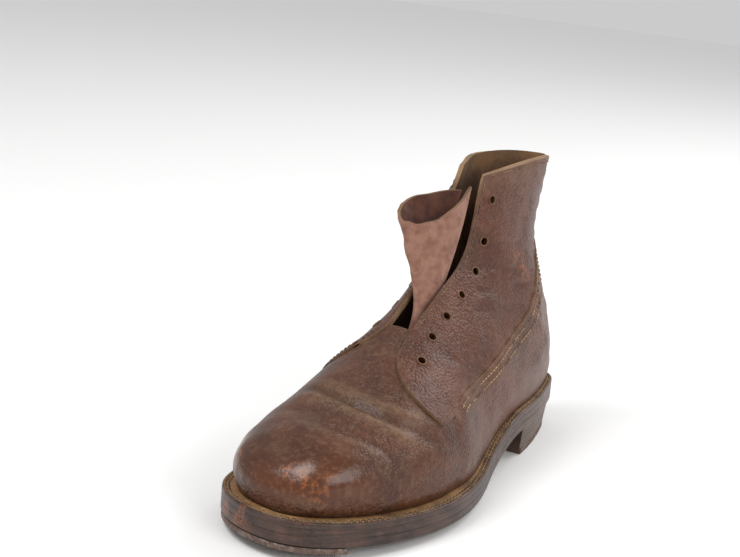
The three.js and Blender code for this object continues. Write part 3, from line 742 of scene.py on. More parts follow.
@dataclass(frozen=True)
class GrainLeather:
    """Drummed leather with a pebbled grain, dyed and waxed, worn through to a lighter layer."""

    name: str
    base: str
    light: str
    dark: str
    scuff: str = "#a05a2e"
    rough: float = 0.44
    pebble: float = 1.55     # width of a pebble
    depth: float = 0.52
    drift: float = 0.9     # how far pebbles are pushed out of line, and over what distance
    drift_pitch: float = 10 / 3
    # Colour that the marks darken towards: grime, and painted shade in the creases and along the quarter's edges.
    dirt_and_shade: str = "#2e1f18"

    def make(self) -> Finish:
        """Pebbles from cells, dye clouds from slow noise, and wear, grime and painted shade from the marks.

        Returns:
            The material.
        """
        s = Sheet(self.name)
        wear, dirt_and_shade, scuff, gloss = s.marks()
        clouds, fine = s.noise(26, 4), s.noise(3.2, 3, 0.6)
        drift = add(s.tree, "ShaderNodeTexNoise", {"Vector": s.place, "Scale": 1000 / self.drift_pitch})
        warped = add(s.tree, "ShaderNodeVectorMath", {0: drift.outputs["Color"], 1: (self.drift / 1000,) * 3,
                     2: s.place}, operation="MULTIPLY_ADD")
        cells = add(s.tree, "ShaderNodeTexVoronoi", {"Vector": warped.outputs[0], "Scale": 1000 / self.pebble,
                    "Randomness": 1.0}, feature="F1").outputs["Distance"]
        patchy = s.times(s.band(s.noise(14, 3), 0.38, 0.62, 0.45, 1), s.band(gloss, 0, 1, 1, 0.12))
        valley = s.times(s.band(cells, 0.35, 0.75), patchy)
        colour = s.blend(s.band(clouds, 0.36, 0.68, 0, 0.6), self.base, self.dark)
        colour = s.blend(s.times(s.band(fine, 0.45, 0.7), 0.22), colour, self.light)
        colour = s.blend(s.times(wear, s.band(fine, 0.25, 0.6, 0.45, 1)), colour, self.light)
        colour = s.blend(s.times(scuff, s.band(fine, 0.42, 0.62, 0, 0.8)), colour, self.scuff)
        colour = s.blend(s.times(valley, 0.4), colour, self.dark)
        # Grime and painted shade from the marks: darker in the creases, along the quarter's edges and just above
        # the welt.
        colour = s.blend(s.times(dirt_and_shade, 0.8), colour, self.dirt_and_shade)
        rough = s.band(s.maths("ADD", s.times(fine, 0.5), s.times(wear, 0.5)),
                       0.15, 0.85, self.rough - 0.08, self.rough + 0.26)
        rough = s.maths("SUBTRACT", rough, s.times(gloss, 0.16))
        flexed = s.times(s.band(gloss, 0, 1, 1, 0.25), s.band(wear, 0, 0.5, 0.5, 1))
        wrinkles = s.bump(s.noise(3.6, 4, 0.62, (1, 0.45, 1.3)), 0.55, flexed)
        pebbles = s.bump(s.maths("SUBTRACT", 1.0, s.times(cells, patchy)), self.depth, 1.0, wrinkles)
        return s.close(Base_Color=colour, Roughness=rough, Normal=pebbles, Specular_IOR_Level=0.34,
                       Coat_Weight=0.04, Coat_Roughness=0.35)


@dataclass(frozen=True)
class PlainLeather:
    """Vegetable-tanned leather or its flesh side, without a grain."""

    name: str
    base: str
    dark: str
    light: str
    rough: float = 0.8
    fibre: float = 0.25     # height of the fibres
    layers: float = 0.0     # thickness of the layers that an edge shows

    def make(self) -> Finish:
        """Fibres from fine noise, stains from slow noise, and thin layers where they are set.

        Returns:
            The material.
        """
        s = Sheet(self.name)
        wear, dirt_and_shade, scuff, _ = s.marks()
        slow, fine = s.noise(18, 4), s.noise(1.3, 3, 0.7)
        colour = s.blend(s.band(slow, 0.35, 0.65), self.base, self.dark)
        colour = s.blend(s.times(s.band(fine, 0.42, 0.72), 0.4), colour, self.light)
        colour = s.blend(wear, colour, self.light)
        height = fine
        if self.layers:
            lines = s.noise(self.layers, 2, 0.5, (0.03, 0.03, 1))
            colour = s.blend(s.band(lines, 0.5, 0.66, 0, 0.25), colour, self.light)
            colour = s.blend(s.band(lines, 0.5, 0.36, 0, 0.35), colour, self.dark)
            height = s.maths("ADD", s.times(fine, 0.5), s.times(lines, 0.5))
        colour = s.blend(s.times(scuff, s.band(fine, 0.4, 0.6)), colour, "#8a5230")
        # Darkened by the marks: grime on the sole's edges, and painted shade as well on the upper's lining and cut
        # edges.
        colour = s.blend(s.times(dirt_and_shade, 0.8), colour, "#241a14")
        return s.close(Base_Color=colour, Roughness=s.band(fine, 0.2, 0.8, self.rough - 0.12, self.rough + 0.1),
                       Normal=s.bump(height, self.fibre, 0.9), Specular_IOR_Level=0.4)


@dataclass(frozen=True)
class Suede:
    """Napped leather: soft, matt, with a light bloom where the nap turns."""

    name: str
    base: str
    dark: str

    def make(self) -> Finish:
        """Nap from very fine noise over thumb-sized clouds, with sheen for the bloom.

        Returns:
            The material.
        """
        s = Sheet(self.name)
        colour = s.blend(s.band(s.noise(6, 5, 0.6), 0.35, 0.7, 0, 0.8), self.base, self.dark)
        colour = s.blend(s.band(s.noise(0.9, 2, 0.7), 0.4, 0.8, 0, 0.3), colour, self.dark)
        return s.close(Base_Color=colour, Roughness=0.95, Specular_IOR_Level=0.2, Sheen_Weight=0.25,
                       Sheen_Roughness=0.5, Normal=s.bump(s.noise(1.1, 3, 0.7), 0.2, 0.8))


@dataclass(frozen=True)
class Iron:
    """Forged iron or steel, rusted where it isn't rubbed by the ground."""

    name: str
    metal: str
    rust: str
    rubbed: float

    def make(self) -> Finish:
        """Rust in patches over bare metal; the wear mark rubs it bright.

        Returns:
            The material.
        """
        s = Sheet(self.name)
        wear, _, _, _ = s.marks()
        patches = s.band(s.noise(5, 5, 0.65), 0.62, 0.4, 0, 1)
        rusty = s.maths("SUBTRACT", s.maths("ADD", patches, 1 - self.rubbed), wear)
        colour = s.blend(rusty, self.metal, self.rust)
        colour = s.blend(s.band(s.noise(1.6, 3), 0.45, 0.75, 0, 0.5), colour, "#33261f")
        return s.close(Base_Color=colour, Metallic=s.maths("SUBTRACT", 1.0, s.times(rusty, 0.85)),
                       Roughness=s.band(rusty, 0, 1, 0.32, 0.85),
                       Normal=s.bump(s.noise(1.5, 4, 0.65), 0.3, 0.9))


@dataclass(frozen=True)
class Thread:
    """Waxed linen thread, greyed with use."""

    name: str
    base: str

    def make(self) -> Finish:
        """Twist from fine noise.

        Returns:
            The material.
        """
        s = Sheet(self.name)
        colour = s.blend(s.band(s.noise(7, 3), 0.35, 0.65), self.base, "#4b3a2b")
        return s.close(Base_Color=colour, Roughness=0.8, Normal=s.bump(s.noise(0.5, 2), 0.1, 0.8))


@dataclass
class Finishes:
    """Every material of the boot."""

    vamp: Finish
    quarter: Finish
    golosh: Finish
    lining: Finish
    raw_edge: Finish
    suede: Finish
    suede_back: Finish
    welt: Finish
    sole_edge: Finish
    sole_face: Finish
    heel: Finish
    insole: Finish
    iron: Finish
    steel: Finish
    thread: Finish
    pale_thread: Finish


def make_finishes() -> Finishes:
    """Makes every material once.

    Returns:
        The materials by name.
    """
    return Finishes(
        # Chrome-tanned hide, drummed to raise its pebbles, dyed through and waxed: a soft broken shine
        # that sharpens on the toe, and a paler brown wherever bending or rubbing has lifted the wax.
        vamp=GrainLeather("waxed pebbled vamp leather", "#57301c", "#876d52", "#351a0f").make(),
        quarter=GrainLeather("pebbled quarter leather", "#592f1c", "#856450", "#3b1f13", rough=0.47).make(),
        golosh=GrainLeather("pebbled heel leather, rubbed", "#5a311e", "#886751", "#3c2014").make(),
        # Vegetable-tanned splits, uncoated: matt ochre inside, and fibrous pale cuts at every edge.
        lining=PlainLeather("ochre split-leather lining", "#6b4a31", "#432c1d", "#8a6a48", 0.85).make(),
        raw_edge=PlainLeather("cut leather edge", "#785a42", "#553c2a", "#a08463", 0.85).make(),
        # Napped split, brushed: no highlight at all, only a light bloom towards its outline.
        suede=Suede("pink-brown suede", "#977060", "#734d3e").make(),
        suede_back=Suede("dark flesh side of suede", "#5a3527", "#3a2018").make(),
        # Oak-tanned bends, rolled hard. The welt is only oiled, so it stays yellowish; edges are waxed and
        # burnished, so their layers show as dark and light lines under a low shine; the tread is worn matt.
        welt=PlainLeather("oiled welt leather", "#9a7348", "#65472c", "#bd9464", 0.62, 0.2).make(),
        sole_edge=PlainLeather("burnished layered sole edge", "#43302a", "#261b18", "#65493b", 0.42, 0.15,
                               1.4).make(),
        sole_face=PlainLeather("worn oak-tanned sole leather", "#5b4335", "#352820", "#7d6148", 0.72,
                               0.35).make(),
        heel=PlainLeather("burnished heel lifts", "#463329", "#2a1e18", "#6b5140", 0.45, 0.2, 1.8).make(),
        insole=PlainLeather("dark worn insole leather", "#4b3627", "#2f2118", "#6d523c", 0.8).make(),
        # Forged plates and drawn nails, uncoated: brown rust, with bright metal where the ground rubs.
        iron=Iron("rusted plate iron", "#8b7d74", "#5f463b", 0.45).make(),
        steel=Iron("rubbed nail steel", "#b9aa9c", "#5b483f", 0.6).make(),
        # Twisted linen pulled through wax: dull, with dirt between its strands.
        thread=Thread("waxed brown thread", "#7c6448").make(),
        pale_thread=Thread("waxed yellow thread", "#a58c5e").make())


# ---- the upper's skin
TROUGHS: list[tuple[float, float, list[Station]]] = [
    # depth, half width, line
    (1.7, 3.0, [(-44, 205, 36), (-36, 216, 52), (-25, 223.5, 62.5), (-12.9, 227.7, 67.1), (0, 232.2, 66.4),
                (13.1, 234.1, 64.6), (25, 232.2, 62.1), (36.6, 224.4, 58), (44.8, 217.3, 51.5), (50, 208, 42)]),
    (0.9, 2.2, [(-46, 228, 34), (-38, 237, 48), (-28, 242, 55.5), (-19, 245.6, 59.5), (-9, 251.3, 59),
                (4.6, 253.3, 58.6), (20.2, 251.8, 56.8), (34.2, 247.1, 51), (41.9, 244.5, 41.9), (45, 238, 32)]),
    (0.35, 1.3, [(-34, 228, 56), (-18, 236, 63), (0, 240.5, 62.4), (18, 241.5, 60.4), (33, 238, 55),
                 (42, 231, 47)]),
    (0.45, 2.0, [(-30, 214, 64), (-12, 219, 71), (4, 222, 71), (20, 222, 68), (33, 216, 62), (42, 209, 55)]),
    (0.25, 1.3, [(-27, 254, 52), (-9, 262, 54), (8, 264, 54), (24, 260, 50), (35, 253, 43)]),
    (0.9, 2.6, [(8, 119, 118), (13, 112, 121), (18, 98, 119), (21, 84, 116), (20, 70, 114)]),
    (0.9, 2.4, [(13, 126, 108), (20, 114, 108), (23.5, 98, 106), (24, 80, 105), (21.5, 60, 105)]),
    (0.7, 2.2, [(16, 135, 99), (23, 122, 98), (26, 104, 95), (26.5, 84, 95)]),
    (0.7, 2.4, [(9, 113, 135), (15, 100, 133), (18, 84, 131), (17, 66, 128)]),
    (0.9, 2.6, [(-15, 119, 118), (-21, 108, 119), (-26, 92, 117), (-26, 70, 114)]),
    (0.8, 2.4, [(-19, 126, 106), (-27, 112, 106), (-30, 92, 104), (-28, 68, 103)]),
    (0.6, 2.0, [(16, 173, 84), (27, 166, 80), (33, 154, 76)]),
]
FINE_ARCS: list[list[Station]] = [
    [(-39.4, 238.2, 52.4), (-14.3, 252.6, 58), (22.1, 251.8, 56.2), (34.2, 246.3, 51.3), (43, 242.2, 41.6),
     (46.3, 237.6, 30)],
    [(-38, 232, 53), (-14, 244, 61), (20, 245.5, 58.6), (33, 241, 53), (43, 235, 43)],
    [(4, 262, 55.5), (20, 258.5, 53.5), (33, 252, 47.5), (41, 246, 38), (44, 243, 30)],
    [(24, 251, 54.5), (36, 245, 47), (44, 238.5, 37), (47, 232, 29)]]
RIDGES: list[tuple[float, float, list[Station]]] = [
    (1.3, 3.8, [(-36, 225, 54), (-20, 233, 62), (-0.3, 236.4, 64.6), (18.7, 237.1, 62.4), (35, 232.9, 56.1),
                (43, 226, 48)]),
    (0.35, 3.2, [(-24, 248, 56), (-6, 257, 57), (10, 258.5, 57), (27, 255, 53), (38, 249, 45)]),
    (0.8, 4.0, [(-28, 216, 62), (-10, 224, 68.5), (10, 227, 68), (26, 224, 65), (39, 216, 58)]),
]
ARC_DEPTH, ARC_HALF = 0.35, 1.2     # the fine arcs' depth and half width
QUARTER_EDGE: list[Station] = [(6.2, 178, 93), (6.4, 184, 89.4), (6.9, 190.1, 86), (9.2, 196, 81.8),
    (17.6, 205.3, 75.3), (28.1, 209.5, 68.7), (37, 208.6, 61.2), (43.3, 203.6, 54.6)]
QUARTER_FOOT: list[Station] = [(43.3, 203.6, 54.6), (42.6, 186.8, 57)]
QUARTER_EDGE_MEDIAL: list[Station] = [(-9.2, 177, 92.5), (-12.5, 182, 88.5), (-19, 187, 82), (-27, 190, 75),
    (-35, 190, 66), (-40, 187, 57.5)]
QUARTER_FOOT_MEDIAL: list[Station] = [(-40, 187, 57.5), (-38.5, 174, 60)]
GOLOSH_EDGE: list[Station] = [(42.2, 186.8, 57), (39.7, 179.4, 61), (36.2, 160, 64.1), (34.2, 137, 68.2),
    (33.1, 119.3, 73.5), (31.1, 103.2, 78), (29.7, 92.9, 81), (28.1, 79.6, 85.3), (26.7, 69.4, 89.8),
    (24.3, 60.6, 95.2), (22.5, 55.8, 99.6), (20, 50.4, 105.7), (15.5, 40, 114), (8, 27, 122), (1.2, 21, 126.5)]
SCUFFS: list[tuple[list[Station], float]] = [
    # line, half width
    ([(2.8, 286.1, 43.6), (20.5, 284.6, 35.7), (12.9, 287.2, 40.2)], 5.5),
    ([(18.4, 77.1, 123.1), (21.2, 65.5, 109.2)], 5.0),
    ([(30, 262, 36), (20, 277, 41)], 4.0), ([(-40, 262, 36), (-30, 276, 38)], 6.0),
    ([(34, 30, 40), (28, 16, 44)], 4.5)]
TAB_PATCH: list[Station] = [(39, 201, 60.5), (41.5, 194, 59)]     # rubbed pale by the corner of the quarter
SPAN_U, SPAN_V = 420.0, 230.0     # about how many mm one u and one v are
SPAN_COLLAR = 370.0     # how many one u is near the collar
FAR = 99.0
QUARTER_LEFT, GOLOSH_LEFT = 1, -1     # which way is inside the piece, seen along its edge


class Skin:
    """The outer skin of the upper on a lattice, with its creases, and what is drawn on it."""

    gap_medial, gap_lateral = -8.8, 5.7      # x of the facings' edges
    throat_u, throat_half_v = 0.305, 0.27    # foot of the throat, and how far it can reach sideways

    def __init__(self, step: float = 2.0, columns: int = 150) -> None:
        """Lays out the lattice and its relief.

        Args:
            step: distance between rows, in mm.
            columns: how many steps each row has.
        """
        fine = np.linspace(0, 1, 4000)
        (ta, tz), (ba, bz) = LAST.top_point(fine, 0), LAST.bottom_point(fine, 0)
        pace = np.maximum(np.hypot(np.gradient(ta), np.gradient(tz)), np.hypot(np.gradient(ba), np.gradient(bz)))
        run = np.cumsum(pace)
        rows = []
        for lo, hi in ((0.0, S.heel_turn), (S.heel_turn, 1.0)):
            r0, r1 = np.interp([lo, hi], fine, run)
            n = max(2, round((r1 - r0) / step))
            rows.extend(np.interp(np.linspace(r0, r1, n + 1), run, fine)[(1 if rows else 0):])
        self.u = np.array(rows)
        self.u[0], self.u[-1] = 0.0, 1.0
        self.u[np.argmin(abs(self.u - S.heel_turn))] = S.heel_turn
        self.v = np.linspace(0, 1, columns + 1)
        self.uu, self.vv = np.meshgrid(self.u, self.v, indexing="ij")
        self.base = LAST.skin(self.uu, self.vv)
        self.inside = LAST.skin(self.uu, self.vv, S.wall)
        self.base[0] = (AXIS_X, LAST.toe, feather_level(LAST.toe))
        self.inside[0] = (AXIS_X, LAST.toe - S.wall, feather_level(LAST.toe))
        self.normal = self.normals()
        self.relief = self.creases(self.base)
        self.above = self.base[..., 2] - feather_level(self.base[..., 1])

    def normals(self) -> Array:
        """Outward directions, the same on both sides of the back seam.

        Returns:
            A unit vector at each lattice point.
        """
        du, dv = np.gradient(self.base, axis=0), np.gradient(self.base, axis=1)
        n = np.cross(dv, du)
        centre = np.array([AXIS_X, 0, 60.0])
        n /= np.maximum(np.linalg.norm(n, axis=-1, keepdims=True), 1e-9)
        side = (self.base - centre)[..., 0]
        pick = np.abs(side) > 8
        if np.mean(n[pick][:, 0] * side[pick] > 0) < 0.5:
            n = -n
        n[0] = n[1]
        seam = self.u >= S.heel_turn - 1e-9
        mean = n[seam, 0] + n[seam, -1]
        n[seam, 0] = n[seam, -1] = mean / np.linalg.norm(mean, axis=-1, keepdims=True)
        return n

    def fading(self, p: Array, line: Sequence[Station], ends: float) -> tuple[Array, Array]:
        """Distance of points from a listed crease, and its strength there, fading over both its ends."""
        d, along = near_line(p, curve_through(line, 4))
        return d, smooth(0, ends, along) * smooth(1, 1 - ends, along)

    def creases(self, p: Array) -> Array:
        """How far the skin stands out from the last.

        Args:
            p: points in boot mm, (..., 3).

        Returns:
            The height at each point, in mm.
        """
        height = 0.45 * ripple(p, 62, 1.3) + 0.22 * ripple(p, 27, 0.4)
        for depth, half, line in TROUGHS:
            d, fade = self.fading(p, line, 0.12)
            wobble = 1 + 0.3 * ripple(p, 33, depth * 9)
            height -= depth * wobble * fade * bell(d, half)
        for rise, half, line in RIDGES:
            d, fade = self.fading(p, line, 0.12)
            height += rise * fade * (1 + 0.25 * ripple(p, 21, rise)) * bell(d, half)
        for line in FINE_ARCS:
            d, fade = self.fading(p, line, 0.1)
            height -= ARC_DEPTH * bell(d, ARC_HALF) * fade
        above = p[..., 2] - feather_level(p[..., 1])
        low = smooth(150, 175, p[..., 1]) * smooth(16, 7, above)
        pull = np.sin(2 * math.pi * (p[..., 1] * 0.8 + p[..., 0] * 0.6) / 8.5 + 2 * ripple(p, 50, 2))
        height += 0.28 * low * pull
        height += 0.35 * smooth(0.5, 1, ripple(p, 15, 5.1)) * smooth(90, 60, p[..., 1]) * smooth(40, 80, p[..., 2])
        return height * smooth(0.5, 6, above) * smooth(0.4, 3, np.abs(p[..., 2] - 180))

    def locate(self, points: Array) -> Array:
        """Finds points on the lattice.

        Args:
            points: points on or near the skin, in boot mm.

        Returns:
            Their (u, v).
        """
        flat = self.base.reshape(-1, 3)
        tree = KDTree(len(flat))
        for i, q in enumerate(flat):
            tree.insert(q, i)
        tree.balance()
        near = np.array([tree.find(p)[1] for p in points])
        u, v = self.uu.ravel()[near].copy(), self.vv.ravel()[near].copy()
        e = 1e-3
        for _ in range(6):
            u, v = np.clip(u, 2e-3, 1 - 2e-3), np.clip(v, 1e-3, 1 - 1e-3)
            p0, pu, pv = LAST.skin(u, v), LAST.skin(u + e, v), LAST.skin(u, v + e)
            su, sv, gap = (pu - p0) / e, (pv - p0) / e, points - p0
            auu, auv, avv = (su * su).sum(-1), (su * sv).sum(-1), (sv * sv).sum(-1)
            bu, bv = (su * gap).sum(-1), (sv * gap).sum(-1)
            det = np.maximum(auu * avv - auv**2, 1e-9)
            u = u + 0.8 * np.clip((bu * avv - bv * auv) / det, -0.02, 0.02)
            v = v + 0.8 * np.clip((bv * auu - bu * auv) / det, -0.02, 0.02)
        return np.stack([np.clip(u, 0, 1), np.clip(v, 0, 1)], -1)

    def area(self, outline: Array) -> Array:
        """Signed distance inside an outline.

        Args:
            outline: its corners in (u, v).

        Returns:
            The distance in about mm at each lattice point, positive inside.
        """
        q = outline * (SPAN_U, SPAN_V)
        p = np.stack([self.uu * SPAN_U, self.vv * SPAN_V], -1).reshape(-1, 2)
        best, inside = np.full(len(p), 1e9), np.zeros(len(p), bool)
        for s, e in zip(q, np.roll(q, -1, 0)):
            d = e - s
            t = np.clip(((p - s) @ d) / max(d @ d, 1e-12), 0, 1)
            best = np.minimum(best, np.linalg.norm(p - s - t[:, None] * d, axis=1))
            crosses = (s[1] > p[:, 1]) != (e[1] > p[:, 1])
            at = s[0] + (p[:, 1] - s[1]) * (e[0] - s[0]) / (e[1] - s[1] if e[1] != s[1] else 1e-12)
            inside ^= crosses & (p[:, 0] < at)
        return np.where(inside, best, -best).reshape(self.uu.shape)

    def throat(self) -> Array:
        """Where leather is left beside the throat and under the front corners of the collar.

        Returns:
            A signed distance at each lattice point, positive on leather.
        """
        x = self.base[..., 0]
        band = np.maximum.reduce([x - self.gap_lateral, self.gap_medial - x, (self.throat_u - self.uu) * SPAN_U,
                                  (np.abs(self.vv - 0.5) - self.throat_half_v) * SPAN_V])
        return np.minimum.reduce([band, self.corner(Side.MEDIAL, 77, 133, 44.5, 44.5),
                                  self.corner(Side.LATERAL, 115.2, 166, 5, 5.8)])

    def corner(self, side: Side, a0: float, z0: float, deep: float, high: float) -> Array:
        """Rounds off one front corner of the collar.

        Args:
            side: which side of the boot.
            a0: where the rounding starts, forward of the heel.
            z0: where it starts above the floor.
            deep: its half axis forwards.
            high: its half axis upwards.

        Returns:
            A signed distance at each lattice point, positive inside the rounding and far from it.
        """
        x, a, z = np.moveaxis(self.base, -1, 0)
        beyond = (side.value * x > 0) & (a > a0) & (z > z0)
        return np.where(beyond, deep * (1 - np.hypot((a - a0) / deep, (z - z0) / high)), FAR)

    def clipped(self, keep: Array, layers: Sequence[Array]) -> tuple[list[Array], list[tuple[int, ...]]]:
        """Cuts the lattice along the line where keep is zero.

        Args:
            keep: signed distance inside the wanted area.
            layers: values on the lattice, carried over to the new points of the cut.

        Returns:
            The layers as flat rows with the new points last, and the triangles that are left.
        """
        rows, cols = keep.shape
        ids = np.arange(rows * cols).reshape(rows, cols)
        p, q, r, s = ids[:-1, :-1], ids[:-1, 1:], ids[1:, 1:], ids[1:, :-1]
        tris = np.concatenate([np.stack([p, q, r], -1).reshape(-1, 3), np.stack([p, r, s], -1).reshape(-1, 3)])
        f = keep.ravel()
        positive = (f[tris] > 0).sum(1)
        kept = [tuple(t) for t in tris[positive == 3]]
        extra: dict[tuple[int, int], int] = {}
        added: list[tuple[int, int, float]] = []

        def crossing(i: int, j: int) -> int:
            """The point where an edge crosses the outline, made once.

            Args:
                i: one end of the edge.
                j: its other end.

            Returns:
                The number of the point.
            """
            key = (min(i, j), max(i, j))
            if key not in extra:
                extra[key] = rows * cols + len(added)
                added.append((key[0], key[1], float(f[key[0]] / (f[key[0]] - f[key[1]]))))
            return extra[key]

        for t in tris[(positive > 0) & (positive < 3)]:
            poly: list[int] = []
            for k in range(3):
                i, j = int(t[k]), int(t[(k + 1) % 3])
                if f[i] > 0:
                    poly.append(i)
                if (f[i] > 0) != (f[j] > 0):
                    poly.append(crossing(i, j))
            kept.extend((poly[0], poly[k], poly[k + 1]) for k in range(1, len(poly) - 1))
        flat = [g.reshape(rows * cols, -1) for g in layers]
        if added:
            i, j, t = (np.array(c) for c in zip(*added))
            flat = [np.concatenate([g, mix(g[i], g[j], t[:, None])]) for g in flat]
        return flat, kept

    def shell(self, name: str, outer: Array, inner: Array, keep: Array, finishes: Sequence[Finish]) -> Piece:
        """A closed shell between two lattices, where keep is positive.

        Args:
            name: the piece's name.
            outer: outer points on the lattice.
            inner: inner points on the lattice.
            keep: signed distance inside the wanted area.
            finishes: materials of the outside, the inside and the cut edge.

        Returns:
            The shell.
        """
        (outside, inside, uv), kept = self.clipped(keep, [outer, inner, np.stack([self.uu, self.vv], -1)])
        form = Form()
        top, low = form.put(outside), form.put(inside)
        edges: dict[tuple[int, int], bool] = {}
        for t in kept:
            form.face(*(top[k] for k in t), zone=0)
            form.face(*(low[k] for k in reversed(t)), zone=1)
            for k in range(3):
                i, j = t[k], t[(k + 1) % 3]
                if (j, i) in edges:
                    del edges[(j, i)]
                else:
                    edges[(i, j)] = True
        for i, j in edges:
            seam = all(uv[k][1] in (0.0, 1.0) and uv[k][0] >= S.heel_turn - 1e-9 for k in (i, j))
            tip = uv[i][0] == 0 and uv[j][0] == 0
            if not seam and not tip:
                form.face(top[j], top[i], low[i], low[j], zone=2)
        form.prune()
        return form.finish(name, finishes, 35)

    def lifted(self, height: Array | float) -> Array:
        """Lattice points above the creased skin.

        Args:
            height: how far they stand out, in mm.

        Returns:
            The points in boot mm.
        """
        p = self.base + self.normal * (self.relief + height)[..., None]
        p[..., 2] = np.maximum(p[..., 2], feather_level(p[..., 1]))
        p[0] = self.base[0]
        return p

    def on_skin(self, uv: Array, height: float) -> tuple[Array, Array]:
        """Places on the creased skin.

        Args:
            uv: where, in (u, v).
            height: how far they stand out, in mm.

        Returns:
            The points in boot mm, and the outward directions.
        """
        e = 2e-3
        u, v = np.clip(uv[:, 0], e, 1 - e), np.clip(uv[:, 1], e, 1 - e)
        p = LAST.skin(u, v)
        n = np.cross(LAST.skin(u, v + e) - p, LAST.skin(u + e, v) - p)
        n /= np.linalg.norm(n, axis=-1, keepdims=True)
        row = len(self.u) // 3
        here, right, up = self.base[row, 20], self.base[row, 21], self.base[row + 1, 20]
        if self.normal[row, 20] @ np.cross(right - here, up - here) < 0:
            n = -n
        return p + n * (self.creases(p) + height)[:, None], n


def beside(uv: Array, distance: float) -> Array:
    """Moves a line sideways.

    Args:
        uv: the line in (u, v).
        distance: how far, in mm; positive is to its left.

    Returns:
        The moved line in (u, v).
    """
    q = uv * (SPAN_U, SPAN_V)
    d = np.gradient(q, axis=0)
    d /= np.maximum(np.linalg.norm(d, axis=1, keepdims=True), 1e-9)
    return (q + distance * np.stack([-d[:, 1], d[:, 0]], -1)) / (SPAN_U, SPAN_V)


def mirrored(uv: Array) -> Array:
    """The same line on the other side of the boot."""
    return np.stack([uv[:, 0], 1 - uv[:, 1]], -1)


# ---- stitching
@dataclass
class Stitching:
    """A row of lockstitches laid on leather: short rounded bars with gaps between them."""

    length: float = 2.3
    pitch: float = 3.1
    radius: float = 0.36
    sides: int = 6
    form: Form = field(default_factory=Form)

    def row(self, line: Array, out: Array) -> None:
        """Adds stitches along a line.

        Args:
            line: points in boot mm, close together.
            out: outward direction at each point.
        """
        run = np.concatenate([[0], np.cumsum(np.linalg.norm(np.diff(line, axis=0), axis=1))])
        for start in np.arange(0.5, run[-1] - self.length, self.pitch):
            share = np.array([0.0, 0.12, 0.5, 0.88, 1.0])
            at = np.stack([np.interp(start + share * self.length, run, line[:, c]) for c in range(3)], -1)
            n = np.array([np.interp(start + self.length / 2, run, out[:, c]) for c in range(3)])
            n /= np.linalg.norm(n)
            d = at[-1] - at[0]
            d /= max(np.linalg.norm(d), 1e-9)
            side = np.cross(n, d)
            r = self.radius * np.array([0.35, 0.85, 1.0, 0.85, 0.35])
            sink = self.radius * np.array([-0.7, 0.1, 0.35, 0.1, -0.7])
            turn = np.arange(self.sides) * 2 * math.pi / self.sides
            ring = (at[:, None] + n * sink[:, None, None]
                    + r[:, None, None] * (np.cos(turn)[None, :, None] * side + np.sin(turn)[None, :, None] * n))
            ids = self.form.put(ring)
            self.form.lattice(ids, around=True)
            self.form.face(*ids[0][::-1])
            self.form.face(*ids[-1])

    def finish(self, name: str, thread: Finish) -> Piece:
        """Makes one mesh of all the rows."""
        return self.form.finish(name, [thread], 60)


# ---- upper
def leather_marks(lines: dict[str, Array]) -> Callable[[Array], Array]:
    """Wear, darkening from grime and painted shade, scuff and gloss of the upper.

    Args:
        lines: the edges of its pieces, in boot mm.

    Returns:
        A function from points to the four values.
    """

    def marks(p: Array) -> Array:
        """The four values at each point.

        Args:
            p: points in boot mm, one in each row.

        Returns:
            Wear, darkening, scuff and gloss, one row for each point.
        """
        x, a, z = np.moveaxis(p, -1, 0)
        # The second value darkens: painted shade in the creases and along the quarter's edges, a band just above
        # the welt, and a patch on the toe.
        wear, dirt_and_shade, scuff, gloss = (np.zeros(len(p)) for _ in range(4))

        def beside_curve(stations: Sequence[Station], half: float) -> Array:
            """How near each point is to a smooth line, from 0 to 1."""
            return bell(near_line(p, curve_through(stations, 4))[0], half)

        # Painted shade in the creases: darker along each trough, the more the deeper it is, and along the fine
        # arcs.
        for depth, half, line in TROUGHS:
            dirt_and_shade += 0.32 * depth * beside_curve(line, half * 0.7)
        for line in FINE_ARCS:
            dirt_and_shade += 0.5 * beside_curve(line, 0.9)
        for rise, half, line in RIDGES:
            wear += 0.45 * min(rise, 1.1) * beside_curve(line, half)
        for key, amount, half in (("golosh", 0.5, 3.0), ("quarter", 0.3, 2.0), ("facing", 0.35, 2.0)):
            d, _ = near_line(p, lines[key])
            d = np.minimum(d, near_line(p, lines[key + "_medial"])[0])
            wear += amount * bell(d, half) * (0.7 + 0.5 * ripple(p, 19, amount))
            # Painted shadow along the quarter's edge as well: a thin dark line where the raised edge would shade
            # the vamp.
            if key == "quarter":
                dirt_and_shade += 0.45 * bell(d, 1.2)
        # Painted shadow: a dark line just below the foot of the quarter's tab, where its edge steps down to the
        # leather below.
        foot, _ = near_line(p, QUARTER_FOOT)
        dirt_and_shade += 0.9 * bell(foot, 1.3) * smooth(1, -0.5, z - 55.5)
        patch, _ = near_line(p, TAB_PATCH)
        wear += 0.5 * bell(patch, 4.5) * (0.8 + 0.4 * ripple(p, 9, 3.3))
        above = z - feather_level(a)
        # Darker just above the welt, fading within a few mm of it.
        dirt_and_shade += 0.75 * np.exp(-np.maximum(above, 0) / 2.2)
        wear += 0.35 * smooth(158, 174, z) + 0.12 * smooth(0.3, 1, ripple(p, 30, 2.2))
        wear += 0.12 * smooth(0.55, 1, ripple(p, 12, 7)) + 0.15 * smooth(26, 10, above) * smooth(120, 60, a)
        gloss += smooth(255, 272, a) * smooth(26, 38, z)
        dirt_and_shade += 0.35 * smooth(264, 274, a) * smooth(36, 46, z) * smooth(8, -4, x)
        for spot, r in SCUFFS:
            scuff += 0.85 * bell(near_line(p, spot)[0], r) * (0.75 + 0.5 * ripple(p, 6, r))
        return np.stack([wear, dirt_and_shade, scuff, gloss], -1)

    return marks


